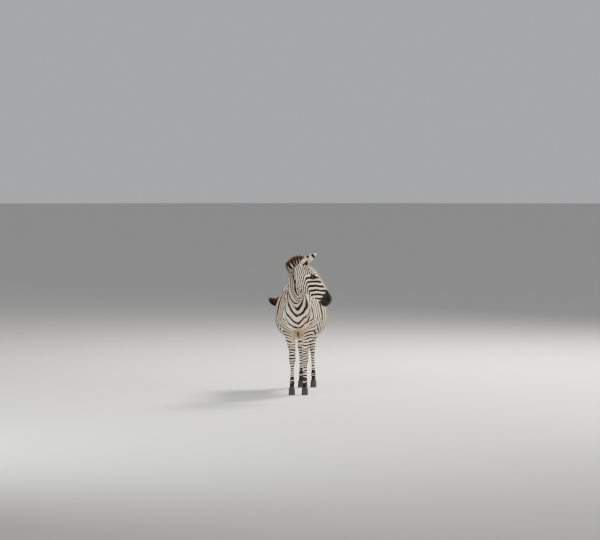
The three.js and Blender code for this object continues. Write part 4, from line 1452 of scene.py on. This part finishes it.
def eyeball(side):
    """A ball with a bulging cornea, which keeps how much each point is in the iris and the pupil."""
    out, corner, up = eye_axes(side)
    away = math.pi * np.arange(1, EYE_RINGS) / EYE_RINGS
    round_it = 2 * math.pi * np.arange(EYE_SPOKES) / EYE_SPOKES
    away, round_it = (grid.ravel() for grid in np.meshgrid(away, round_it, indexing="ij"))
    away = np.concatenate([away, [0, math.pi]])
    round_it = np.concatenate([round_it, [0, 0]])
    spoke = np.cos(round_it)[:, None] * corner + np.sin(round_it)[:, None] * up
    way = np.cos(away)[:, None] * out + np.sin(away)[:, None] * spoke
    radius = EYE_RADIUS * (1 - CORNEA + CORNEA * bump(away, 0, 0.55))
    points = EYES[side] + way * radius[:, None]
    here = np.arange(EYE_SPOKES)
    after = (here + 1) % EYE_SPOKES
    quads = [np.column_stack([a + here, b + here, b + after, a + after])
             for a, b in ((i * EYE_SPOKES, (i + 1) * EYE_SPOKES) for i in range(EYE_RINGS - 2))]
    front, back = len(points) - 2, len(points) - 1
    last = (EYE_RINGS - 2) * EYE_SPOKES
    caps = [np.column_stack([here * 0 + front, here, after]),
            np.column_stack([here * 0 + back, last + after, last + here])]
    mesh = mesh_from("eyeball_" + side, points, np.concatenate(caps), np.concatenate(quads))
    along, across = away * np.cos(round_it), away * np.sin(round_it)
    pupil = 1 - ramp(np.hypot(along / PUPIL[0], across / PUPIL[1]), 0.85, 1.15)
    keep_numbers(mesh, iris=1 - ramp(away, IRIS - 0.06, IRIS + 0.10), pupil=pupil)
    shade_smooth(mesh)
    return add_object("eyeball_" + side, mesh)


eye_look, tree, shader = new_material("wet_eye")
fibres = stretched(tree, noise(tree, 600, 3.0), 0.35, 0.65)
iris = mixed(tree, fibres, (0.055, 0.026, 0.012), (0.016, 0.008, 0.005))
eye = mixed(tree, attribute(tree, "iris"), (0.020, 0.013, 0.011), iris)
eye = mixed(tree, attribute(tree, "pupil"), eye, (0.002, 0.002, 0.003))
wetness = stretched(tree, noise(tree, 90, 1.0), 0.3, 0.7, 0.10, 0.20)
feed(shader, {"Base Color": eye, "Roughness": wetness})
feed(shader, {"Coat Weight": 1.0, "Coat Roughness": 0.03, "IOR": 1.38})
eyeballs = {side: eyeball(side) for side in EYES}
for piece in eyeballs.values():
    piece.data.materials.append(eye_look)
print("eyeballs", round(2000 * EYE_RADIUS), "mm across")

# %% [markdown]
# ## Rims of the lids, and chestnuts
# The edge of a lid is a smooth dark roll of bare skin. A thin tube closed on itself follows the almond
# of the opening, and hides the edge of the skin under it. A chestnut is an oval callus on the inner side
# of each foreleg: a squashed ball with an uneven surface, half sunk in the skin, in the same material.

# %% Make the lid rims
RIM_RADIUS, RIM_POINTS, RIM_CORNERS = 0.0015, 96, 8


def closed_ring(name, middles, outward, radius):
    """A tube round a closed row of middle points."""
    along = unit(np.roll(middles, -1, axis=0) - np.roll(middles, 1, axis=0))
    side = unit(np.cross(along, outward))
    turn = 2 * math.pi * np.arange(RIM_CORNERS) / RIM_CORNERS
    ring = np.cos(turn)[None, :, None] * outward[:, None] + np.sin(turn)[None, :, None] * side[:, None]
    points = (middles[:, None] + radius * ring).reshape(-1, 3)
    count = len(middles)
    here = np.arange(count * RIM_CORNERS).reshape(count, RIM_CORNERS)
    after = np.roll(here, -1, axis=0)
    quads = np.stack([here, np.roll(here, -1, axis=1), np.roll(after, -1, axis=1), after], axis=-1)
    mesh = mesh_from(name, points, np.zeros((0, 3), int), quads.reshape(-1, 4))
    shade_smooth(mesh)
    return add_object(name, mesh)


def on_eye(side, sideways, height, distance):
    """Places at two angles and a distance from the middle of an eye."""
    out, corner, up = eye_axes(side)
    level = np.cos(sideways)[:, None] * out + np.sin(sideways)[:, None] * corner
    return EYES[side] + distance * (np.cos(height)[:, None] * level + np.sin(height)[:, None] * up)


def lid_rim(side):
    turn = 2 * math.pi * (np.arange(RIM_POINTS) + 0.5) / RIM_POINTS
    sideways = LID_LENGTH * np.cos(turn)
    height = np.sign(np.sin(turn)) * lid_edge(sideways, np.sin(turn) > 0)
    middles = on_eye(side, sideways, height, EYE_RADIUS + 0.0011)
    middles = smoothed_ring(middles, 3)
    return closed_ring("lid_rim_" + side, middles, unit(middles - EYES[side]), RIM_RADIUS)


def smoothed_ring(points, rounds):
    for _ in range(rounds):
        points = (2 * points + np.roll(points, 1, axis=0) + np.roll(points, -1, axis=0)) / 4
    return points


bare_look, tree, shader = new_material("bare_dark_skin")
pores = noise(tree, 700, 3.0)
skin_tone = stretched(tree, noise(tree, 120, 2.0), 0.3, 0.7)
skin_tone = mixed(tree, skin_tone, (0.016, 0.012, 0.011), (0.040, 0.027, 0.022))
feed(shader, {"Base Color": skin_tone, "Roughness": stretched(tree, pores, 0.3, 0.7, 0.32, 0.55)})
feed(shader, {"Normal": bumped(tree, pores, 0.0003)})
lid_rims = {side: lid_rim(side) for side in EYES}
print("lid rims", round(2000 * RIM_RADIUS, 1), "mm thick")

# %% Make the chestnuts
CHESTNUT_HEIGHT = 0.515
CHESTNUT_SIZE = (0.0045, 0.011, 0.022)  # half its thickness, width and length
skin_tree = BVHTree.FromPolygons(skin_points.tolist(), skin_triangles.tolist())


def on_skin(start, way, reach=0.3):
    """Where a ray meets the skin, or its start if it misses."""
    hit = skin_tree.ray_cast(Vector(start), Vector(way), reach)[0]
    return np.array(start if hit is None else hit)


def chestnut(leg):
    """The oval callus on the inner side of a foreleg, above the knee."""
    inward = -1 if leg.endswith("left") else 1
    x, y = between(CHESTNUT_HEIGHT, SLICES, LEG_LINES[leg])
    place = on_skin((x + 0.10 * inward, y + 0.006, CHESTNUT_HEIGHT), (-inward, 0, 0))
    thick, wide, long = CHESTNUT_SIZE
    ball = bmesh.new()
    bmesh.ops.create_uvsphere(ball, u_segments=24, v_segments=16, radius=1.0)
    for vert in ball.verts:
        rough = 1 + 0.10 * math.sin(9 * vert.co.z + 4 * vert.co.y)
        vert.co = Vector(place) + Vector((thick * rough * vert.co.x, wide * vert.co.y, long * vert.co.z))
    mesh = bpy.data.meshes.new("chestnut_" + leg)
    ball.to_mesh(mesh)
    ball.free()
    shade_smooth(mesh)
    return add_object("chestnut_" + leg, mesh)


bare_pieces = list(lid_rims.values()) + [chestnut(leg) for leg in LEGS if leg.startswith("fore")]
for piece in bare_pieces:
    piece.data.materials.append(bare_look)
print(len(bare_pieces), "pieces of bare skin")

# %% [markdown]
# ## Lashes, whiskers and ear hair
# Long stiff lashes stand on the upper lid, whiskers on the lips and chin, and pale hair fringes the
# rim of each ear. All are thin spikes with a bend.

# %% Grow lashes, whiskers and ear hair
LASHES, WHISKERS, EAR_HAIRS = 44, 80, 1500
LASH_LENGTH = 0.015


def bent_paths(root, way, droop, length, steps=4):
    """Paths that start along one direction and lean more and more towards another."""
    share = np.linspace(0, 1, steps)[None, :, None]
    return root[:, None] + length[:, None, None] * (share * way[:, None] + share**2 * droop[:, None])


def fine_hair(name, paths, across, outward, half_width, numbers):
    """A joined piece of thin bent hairs, with the numbers of the coat's material."""
    steps = paths.shape[1]
    taper = np.append(np.linspace(1, 0.5, steps - 1), 0.0)
    widths = half_width * np.ones(len(paths))[:, None] * taper
    mesh, each = spikes(name, paths, across, outward, widths, widths)
    keep_numbers(mesh, **{key: np.full(len(mesh.vertices), value) for key, value in numbers.items()})
    turn = np.linspace(0.05, 0.95, len(paths))
    patch_map(mesh, np.column_stack([turn, (turn * 37) % 0.9 + 0.05]), each)
    mesh.materials.append(tuft_look)
    return add_object(name, mesh)


ALL_DARK = {"stripe": 1.0, "dark": 1.0, "warm": 0.0}
PALE = {"stripe": -1.0, "dark": 0.0, "warm": 0.1}
for side in EYES:
    out, corner, up = eye_axes(side)
    sideways = LID_LENGTH * np.linspace(-0.86, 0.70, LASHES)
    height = lid_edge(sideways, np.full(LASHES, True))
    root = on_eye(side, sideways, height, EYE_RADIUS + 0.0012)
    spread = 0.9 * np.sin(sideways)[:, None] * corner
    way = unit(0.95 * out + spread - 0.10 * up + RNG.normal(0, 0.07, (LASHES, 3)))
    droop = np.tile(0.45 * up, (LASHES, 1))
    length = LASH_LENGTH * RNG.uniform(0.75, 1.1, LASHES)
    across = unit(np.cross(way, up))
    bare_pieces.append(fine_hair("lashes_" + side, bent_paths(root, way, droop, length), across,
                                 np.cross(across, way), 0.00035, ALL_DARK))

along, inwards, left = head_places(skin_points)
corner_of = skin_triangles[:, 0]
on_lips = head_rows & (along > 0.47) & (inwards > 0.06) & (bald < 0.2)
_, _, root, facing = roots_in(on_lips[corner_of], WHISKERS)
way = unit(unit(facing) + 0.5 * TO_LIPS + RNG.normal(0, 0.15, (WHISKERS, 3)))
across = unit(np.cross(way, TO_LEFT + 0.1 * OUT_OF_NOSE))
droop = np.tile([0, 0, -0.25], (WHISKERS, 1))
length = MM * RNG.uniform(12, 30, WHISKERS)
bare_pieces.append(fine_hair("whiskers", bent_paths(root, way, droop, length), across,
                             np.cross(across, way), 0.00022, ALL_DARK))

for side in EYES:
    foot, upwards, opening, across = ear_axes(side)
    share, forward, sideways = in_ear(skin_points, side)
    rim = is_part("ear_" + side) & (ear_inside > 0.08) & (ear_inside < 0.75) & (share > 0.12)
    picked, shares, root, _ = roots_in(rim[corner_of], EAR_HAIRS)
    inward = -np.sign(at_roots(sideways, picked, shares))[:, None] * across
    way = unit(0.35 * opening + 0.9 * upwards + 0.35 * inward + RNG.normal(0, 0.14, (EAR_HAIRS, 3)))
    droop = np.tile(0.3 * upwards, (EAR_HAIRS, 1))
    length = MM * RNG.uniform(8, 17, EAR_HAIRS)
    flat = unit(np.cross(way, opening))
    bare_pieces.append(fine_hair("ear_hair_" + side, bent_paths(root, way, droop, length, 3), flat,
                                 np.cross(flat, way), 0.00040, PALE))
print(len(bare_pieces), "pieces so far beside the coat and the eyes")

# %% [markdown]
# ## Hooves
# The hoof is a cone of horn with a flat sole. The wall shows growth rings parallel to the coronet, and
# the heel has two round bulbs with a groove between them. The plain hoof is wrapped in a fine net, its
# edges are worn, the rings and the groove are pressed in, and the sole is put back flat on the floor.

# %% Shape the hooves
HOOF_NET, HOOF_RINGS = 0.0026, 8
RING_DEPTH = 0.00032
SOLE = 0.0022  # points lower than this are put on the floor


def coronet_height(points, node):
    """The height of the coronet's slanting plane at each point: the plane of the hoof's upper face."""
    upper = [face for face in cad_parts[node].data.polygons if face.normal.z > 0.3]
    facing = np.mean([tuple(face.normal) for face in upper], axis=0)
    middle = np.mean([tuple(face.center) for face in upper], axis=0)
    return middle[2] - (points - middle)[:, :2] @ facing[:2] / facing[2]


def hoof_piece(leg):
    """A hoof, which keeps how far up its wall each point is."""
    node = "hoof_" + leg
    solid = solid_copy(node)
    plain = bpy.data.meshes.new(node + "_plain")
    solid.to_mesh(plain)
    solid.free()
    mesh = wrapped(plain, HOOF_NET)
    mesh.name = node + "_horn"
    edges = edges_of(mesh)
    points = smoothed(points_of(mesh), edges, 12)
    middle_x = middle_of(node)[0]
    (_, toe, _), (_, heel, _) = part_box(node)
    centre = np.array([middle_x, toe + 0.45 * (heel - toe), 0])
    outward = unit((points - centre) * [1, 1, 0])
    share = np.clip(points[:, 2] / coronet_height(points, node), 0, 1)
    wall = ramp(points[:, 2], 0.003, 0.010) * (1 - ramp(share, 0.90, 1.0))
    rings = RING_DEPTH * cosine(HOOF_RINGS * share) * wall
    rings += 0.0012 * bump(share, 0.93, 0.05)  # the soft band under the coronet
    groove = -0.007 * bump(points[:, 0], middle_x, 0.007) * ramp(points[:, 1], heel - 0.035, heel - 0.012)
    points = points + outward * (rings + groove * ramp(points[:, 2], 0.0, 0.012))[:, None]
    points[:, 2] = np.where(points[:, 2] < SOLE, 0.0, points[:, 2])
    put_points(mesh, points)
    shade_smooth(mesh)
    keep_numbers(mesh, share=share)
    mesh.update()
    return add_object(node + "_horn", mesh)


hooves = {leg: hoof_piece(leg) for leg in LEGS}
print("hooves", [len(piece.data.polygons) for piece in hooves.values()], "faces")

# %% [markdown]
# ## The look of horn
# Horn is dark and only a little glossy. Fine streaks run down the wall, each growth ring carries a darker
# line, and the lower part of the wall is dusty. The rings of the colour use the same numbers as the rings
# of the shape, so that they lie on each other.

# %% Make the horn's material
horn_look, tree, shader = new_material("hoof_horn")
where = add_node(tree, "ShaderNodeTexCoord").outputs["Object"]
drawn_down = add_node(tree, "ShaderNodeMapping", {0: where, 3: (1.0, 1.0, 0.12)}).outputs[0]
streaks = noise(tree, 340, 3.0, drawn_down)
dust = stretched(tree, attribute(tree, "share"), 0.0, 0.45, 0.55, 0.0)
dust = maths(tree, "MULTIPLY", dust, stretched(tree, noise(tree, 70, 4.0), 0.35, 0.65))
horn = mixed(tree, stretched(tree, streaks, 0.35, 0.65), (0.024, 0.020, 0.018), (0.060, 0.048, 0.040))
horn = mixed(tree, dust, horn, (0.13, 0.10, 0.078))
turns = maths(tree, "MULTIPLY_ADD", attribute(tree, "share"), 2 * math.pi * HOOF_RINGS, noise(tree, 60, 2.0))
ring_shade = maths(tree, "MULTIPLY_ADD", maths(tree, "COSINE", turns), 0.18, 0.18)
horn = mixed(tree, ring_shade, horn, (0.022, 0.018, 0.016))
feed(shader, {"Base Color": horn, "Roughness": stretched(tree, streaks, 0.3, 0.7, 0.38, 0.60)})
feed(shader, {"Normal": bumped(tree, streaks, 0.0004)})
for piece in hooves.values():
    piece.data.materials.append(horn_look)
print("horn on", len(hooves), "hooves")

# %% [markdown]
# ## Hair over the coronet
# Where the skin ends above the hoof, a fringe of short hair hangs over the edge of the horn. It is grown
# like the whiskers, and points down and outwards.

# %% Grow the hair over the coronet
CORONET_HAIRS = 700
for leg in LEGS:
    above = skin_points[:, 2] - coronet_height(skin_points, "hoof_" + leg)
    by_hoof = is_part("leg_" + leg) & (skin_points[:, 2] < 0.13) & (above < 0.014) & (above > 0.001)
    _, _, root, facing = roots_in(by_hoof[corner_of], CORONET_HAIRS)
    normal = unit(facing * [1, 1, 0])
    way = unit([0, -0.25, -1] + 0.85 * normal + RNG.normal(0, 0.06, (CORONET_HAIRS, 3)))
    droop = np.array([0, -0.2, -0.5]) - 0.45 * normal
    length = MM * RNG.uniform(7, 12, CORONET_HAIRS)
    across = unit(np.cross(normal, way))
    bare_pieces.append(fine_hair("coronet_hair_" + leg, bent_paths(root, way, droop, length, 3), across,
                                 normal, 0.0008, ALL_DARK))
print(CORONET_HAIRS, "hairs over each coronet")

# %% [markdown]
# ## The mane
# A zebra's mane is a stiff upright brush. It starts low at the withers, is highest on the neck and ends
# between the ears. The stripes of the neck run on into it, and its tips are rusty brown. Each lock is a
# flat closed spike, rooted a little under the skin along the crest. Thinner hairs stand between the
# locks and reach past them, so that the outline is ragged.

# %% Grow the mane
MANE_HEIGHT = 0.136
HALF_CREST = 0.012  # half the width of the strip that the locks are rooted in
MANE_BLACK = 0.50  # above 0 the mane's black stripes are wider than its white ones
MANE_ROOTS = np.array([  # from the midline, from the breast, height; the way the hair points; its length
    [0.000, 0.474, 1.284, 0.00, 0.30, 0.95, 0.06],
    [-0.002, 0.410, 1.292, 0.00, 0.40, 0.92, 0.20],
    [-0.014, 0.342, 1.298, -0.02, 0.50, 0.87, 0.42],
    [-0.033, 0.276, 1.287, -0.06, 0.58, 0.81, 0.80],
    [-0.042, 0.210, 1.337, -0.32, 0.68, 0.63, 0.98],
    [-0.057, 0.113, 1.409, -0.52, 0.54, 0.61, 1.06],
    [-0.062, 0.019, 1.465, -0.57, 0.40, 0.700, 1.02],
    [0.007, -0.067, 1.522, -0.283, 0.131, 0.931, 0.94],
])
POLL_ROOTS = ((0.004, 0.058, 0.12, 0.0, 0.99, 0.66), (0.040, 0.038, 0.36, -0.10, 0.92, 0.22))
LOCKS, FINE_LOCKS = 2400, 3000

mane_line = MANE_ROOTS[:, :3] + [MIDLINE, BREAST, 0]
mane_line = np.concatenate([mane_line, [on_head(row[0], row[1]) for row in POLL_ROOTS]])
mane_way = unit(np.concatenate([MANE_ROOTS[:, 3:6], [row[2:5] for row in POLL_ROOTS]]))
mane_share = np.concatenate([MANE_ROOTS[:, 6], [row[5] for row in POLL_ROOTS]])
mane_at = lengths_along(mane_line)
mane_at = mane_at / mane_at[-1]


def on_mane(values, places):
    """The values of the mane's rows, read off at places from 0 to 1 along it."""
    return between(places, mane_at, np.reshape(values, (len(mane_at), -1)))


def mane_piece(name, number, half_width, reach, steps, corners):
    """Locks along the whole mane as one mesh; the half width is in millimetres."""
    places = (np.arange(number) + RNG.uniform(0, 1, number)) / number
    aside = np.clip(RNG.normal(0, 0.55, number), -1, 1)
    foot = on_mane(mane_line, places)
    way = unit(on_mane(mane_way, places))
    sooner, later = np.maximum(places - 0.02, 0), np.minimum(places + 0.02, 1)
    run = unit(on_mane(mane_line, later) - on_mane(mane_line, sooner))
    side = unit(np.cross(run, way))
    foot = foot + side * (HALF_CREST * aside)[:, None]
    root = np.array([on_skin(start, back, 0.09) for start, back in zip(foot + 0.05 * way, -way)])
    way = unit(way + 0.10 * aside[:, None] * side + RNG.normal(0, 0.045, (number, 3)))
    clump = wobble(root, 0.03, 31)
    height = MANE_HEIGHT * on_mane(mane_share, places)[:, 0]
    # The locks in the middle are the tallest, which rounds the top of the brush.
    length = height * reach * RNG.uniform(0.86, 1.0, number) * (1 - 0.13 * aside**2) * (1 + 0.03 * clump)
    bend = 0.05 * RNG.normal(0, 1, (number, 1)) * run + 0.05 * clump[:, None] * run
    bend = bend + 0.03 * aside[:, None] * side
    share = np.linspace(0, 1, steps)
    paths = root[:, None] - 0.004 * way[:, None] + length[:, None, None] * (
        share[None, :, None] * way[:, None] + share[None, :, None] ** 2 * bend[:, None])
    taper = np.interp(share, (0, 0.25, 0.6, 0.85, 1), (0.8, 1.0, 0.9, 0.6, 0))
    widths = MM * half_width * RNG.uniform(0.8, 1.25, number)[:, None] * taper
    mesh, each = spikes(name, paths, unit(run), side, widths, widths * 0.8, corners)
    count = neck_count(root + 0.010 * np.array([wobble(root, 0.24, n) for n in (1, 2, 3)]).T)
    pattern = cosine(count) + MANE_BLACK + 0.12 * RNG.normal(0, 1, number)
    level = np.minimum(np.arange(each) // corners, steps - 1)
    tip = np.clip(share[level][None] * (length / np.maximum(height, 1e-3))[:, None], 0, 1.1)
    rust = tip + 0.08 * RNG.normal(0, 1, (number, 1))
    keep_numbers(mesh, stripe=np.repeat(pattern, each), tip=rust.ravel())
    across_map = 0.5 + 0.45 * aside
    patch_map(mesh, np.column_stack([0.02 + 0.96 * places, across_map]), each)
    print(name, number, "locks,", len(mesh.polygons), "faces")
    return add_object(name, mesh)


def long_hair_material(name, tip_colour, dark_from, rust_from):
    """Hair that has the stripes of its roots, turns dark brown and ends in another colour. The last two
    say between which shares of its length it turns dark, and between which it takes its last colour."""
    material, tree, shader = new_material(name)
    inputs = {"Stripe": attribute(tree, "stripe"), "Warm": 0.25, "Softness": 0.25}
    hair = add_node(tree, "ShaderNodeGroup", inputs, node_tree=striped)
    rust = stretched(tree, noise(tree, 150, 2.0), 0.3, 0.7)
    rust = mixed(tree, rust, tip_colour, tuple(0.4 * v for v in tip_colour))
    share = attribute(tree, "tip")
    darker = maths(tree, "MULTIPLY", stretched(tree, share, *dark_from), 0.85)
    colour = mixed(tree, darker, hair.outputs["Color"], (0.045, 0.020, 0.012))
    colour = mixed(tree, stretched(tree, share, *rust_from), colour, rust)
    feed(shader, {"Base Color": colour, "Roughness": hair.outputs["Roughness"]})
    feed(shader, {"Sheen Weight": 0.08, "Sheen Roughness": 0.4, "Specular IOR Level": 0.3})
    return material


mane_look = long_hair_material("mane_hair", (0.34, 0.150, 0.060), (0.30, 0.56), (0.70, 0.96))
thin = 1
mane_pieces = [mane_piece("mane_locks", LOCKS // thin, 1.6, 1.0, 6, 4),
               mane_piece("mane_hairs", FINE_LOCKS // thin, 0.45, 1.07, 4, 3)]
for piece in mane_pieces:
    piece.data.materials.append(mane_look)

# %% [markdown]
# ## The tuft of the tail
# The dock ends in a switch of long coarse hair. Here the tail swings out to the right and its end
# flicks up. Strands run along one bent line inside a bundle that swells and then narrows. Each strand
# starts and ends at its own place, so that the end is ragged.

# %% Grow the tail tuft
TAIL_LINE = np.array([  # from the tip of the dock to the end of the hair, and the bundle's half width
    [0.004, -0.006, 0.045, 0.019],
    [-0.010, -0.004, 0.000, 0.026],
    [-0.034, -0.007, -0.043, 0.036],
    [-0.070, -0.014, -0.081, 0.044],
    [-0.112, -0.024, -0.083, 0.042],
    [-0.152, -0.034, -0.059, 0.030],
    [-0.184, -0.042, -0.023, 0.012],
])
TAIL_STRANDS, TAIL_STEPS = 1500, 9
STRAND_RADIUS = 0.0011
DOCK_TIP = np.array([-0.233, 0.835, 1.093])


def tail_piece(number):
    line = TAIL_LINE[:, :3] + DOCK_TIP
    at = lengths_along(line)
    at = at / at[-1]
    turn = RNG.uniform(0, 2 * math.pi, number)
    off = np.sqrt(RNG.random(number))
    start, end = RNG.uniform(-0.02, 0.30, number), RNG.uniform(0.72, 1.0, number)
    places = start[:, None] + (end - start)[:, None] * np.linspace(0, 1, TAIL_STEPS)
    flat = places.ravel()
    middle = between(flat, at, line)
    run = unit(between(flat + 0.03, at, line) - between(flat - 0.03, at, line))
    flank = unit(np.cross(run, [0, 1, 0]))
    radius = np.interp(flat, at, TAIL_LINE[:, 3])
    turned = np.repeat(turn, TAIL_STEPS) + 0.5 * flat
    out = np.repeat(off, TAIL_STEPS) * radius
    away = np.cos(turned)[:, None] * [0, 1, 0] + np.sin(turned)[:, None] * flank
    paths = (middle + away * out[:, None]).reshape(number, TAIL_STEPS, 3)
    paths = paths + 0.003 * RNG.normal(0, 1, (number, 1, 3)) * np.linspace(0, 1, TAIL_STEPS)[:, None]
    taper = np.interp(np.linspace(0, 1, TAIL_STEPS), (0, 0.2, 0.7, 1), (0.6, 1, 0.8, 0))
    widths = STRAND_RADIUS * RNG.uniform(0.7, 1.3, number)[:, None] * taper
    course = unit(paths[:, -1] - paths[:, 0])
    side = unit(np.cross(course, [0, 1, 0]))
    mesh, each = spikes("tail_tuft_strands", paths, side, np.cross(side, course), widths, widths)
    # Hair on top of the bundle is browner, and the hair below stays dark.
    upper = (off * np.sin(turn)).reshape(-1, 1) * -1
    rust = 0.55 + 0.35 * upper + 0.12 * RNG.normal(0, 1, (number, 1)) + np.zeros((1, each))
    keep_numbers(mesh, stripe=np.full(number * each, 1.2), tip=rust.ravel())
    patch_map(mesh, np.column_stack([turn / 6.4 + 0.01, 0.1 + 0.8 * off]), each)
    return add_object("tail_tuft_strands", mesh)


tail_tuft = tail_piece(TAIL_STRANDS // thin)
tail_look = long_hair_material("tail_hair", (0.26, 0.110, 0.045), (0.0, 0.1), (0.30, 0.85))
tail_tuft.data.materials.append(tail_look)
print("tail tuft", len(tail_tuft.data.polygons), "faces")

# %% [markdown]
# ## The pieces on the frame
# Every piece rides on the frame's one body, and the plain solids that it replaces are hidden.

# %% Tie the pieces to the frame
for piece in pieces + bare_pieces:
    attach(piece, "root")
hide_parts(*FLESH)
for side, piece in eyeballs.items():
    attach(piece, "root")
    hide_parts("eye_" + side)
for leg, piece in hooves.items():
    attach(piece, "root")
    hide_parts("hoof_" + leg)
for piece in mane_pieces:
    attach(piece, "root")
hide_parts("mane")
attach(tail_tuft, "root")
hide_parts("tail_tuft")
print(len(pieces + bare_pieces + mane_pieces) + len(eyeballs) + len(hooves) + 1, "pieces")

# %% [markdown]
# ## Floor, light and camera
# The zebra stands on a plain pale floor. A large soft light high behind its left shoulder gives the
# bright edge along the back and the nose, and a wider, weaker one in front opens the shadows. The
# camera stands 30 m away, a little above the back, with a long lens.

# %% Set the stage
bpy.ops.mesh.primitive_circle_add(vertices=96, radius=120, fill_type="NGON", location=(0, 0, 0))
floor = bpy.context.object
floor.name = "floor"
floor_look, tree, shader = new_material("pale_floor")
tone = mixed(tree, noise(tree, 3.0, 2.0), (0.60, 0.590, 0.575), (0.63, 0.620, 0.605))
feed(shader, {"Base Color": tone, "Roughness": 0.9, "Specular IOR Level": 0.1})
floor.data.materials.append(floor_look)


def soft_light(name, place, size, watts, tint=(1, 1, 1), target=(0, 0, 0.9)):
    """A round light that faces the middle of the body."""
    lamp = bpy.data.lights.new(name, "AREA")
    lamp.shape = "DISK"
    lamp.size, lamp.energy, lamp.color = size, watts, tint
    made = add_object(name, lamp)
    made.location = place
    made.rotation_euler = (Vector(target) - Vector(place)).to_track_quat("-Z", "Y").to_euler()
    made.visible_camera = False
    return made


soft_light("key", (4.5, 5.0, 7.5), 3.0, 1700, (1.0, 0.965, 0.91))
soft_light("front", (-4.5, -7.0, 4.5), 5.0, 560, (0.95, 0.975, 1.0))
soft_light("side", (7.0, -3.0, 3.5), 4.0, 240)
world = bpy.data.worlds.new("studio")
world.use_nodes = True
feed(world.node_tree.nodes["Background"], {"Color": (0.80, 0.81, 0.83, 1), "Strength": 0.50})
bpy.context.scene.world = world
bpy.context.scene.view_settings.look = "AgX - Medium High Contrast"

CAMERA_TURN, CAMERA_DIP = math.radians(3.2), math.radians(2.55)
CAMERA_AWAY, CAMERA_HEIGHT = 30.0, 2.79
LENS_MM, SENSOR_MM = 154.8, 36.0
aim = np.array([MIDLINE + 0.0174, BREAST + 0.212, CAMERA_HEIGHT])
camera_data = bpy.data.cameras.new("camera")
camera_data.lens, camera_data.sensor_width, camera_data.clip_end = LENS_MM, SENSOR_MM, 500
camera = add_object("camera", camera_data)
camera.location = aim + CAMERA_AWAY * np.array([math.sin(CAMERA_TURN), -math.cos(CAMERA_TURN), 0])
camera.rotation_euler = (math.pi / 2 - CAMERA_DIP, 0, CAMERA_TURN)
bpy.context.scene.camera = camera
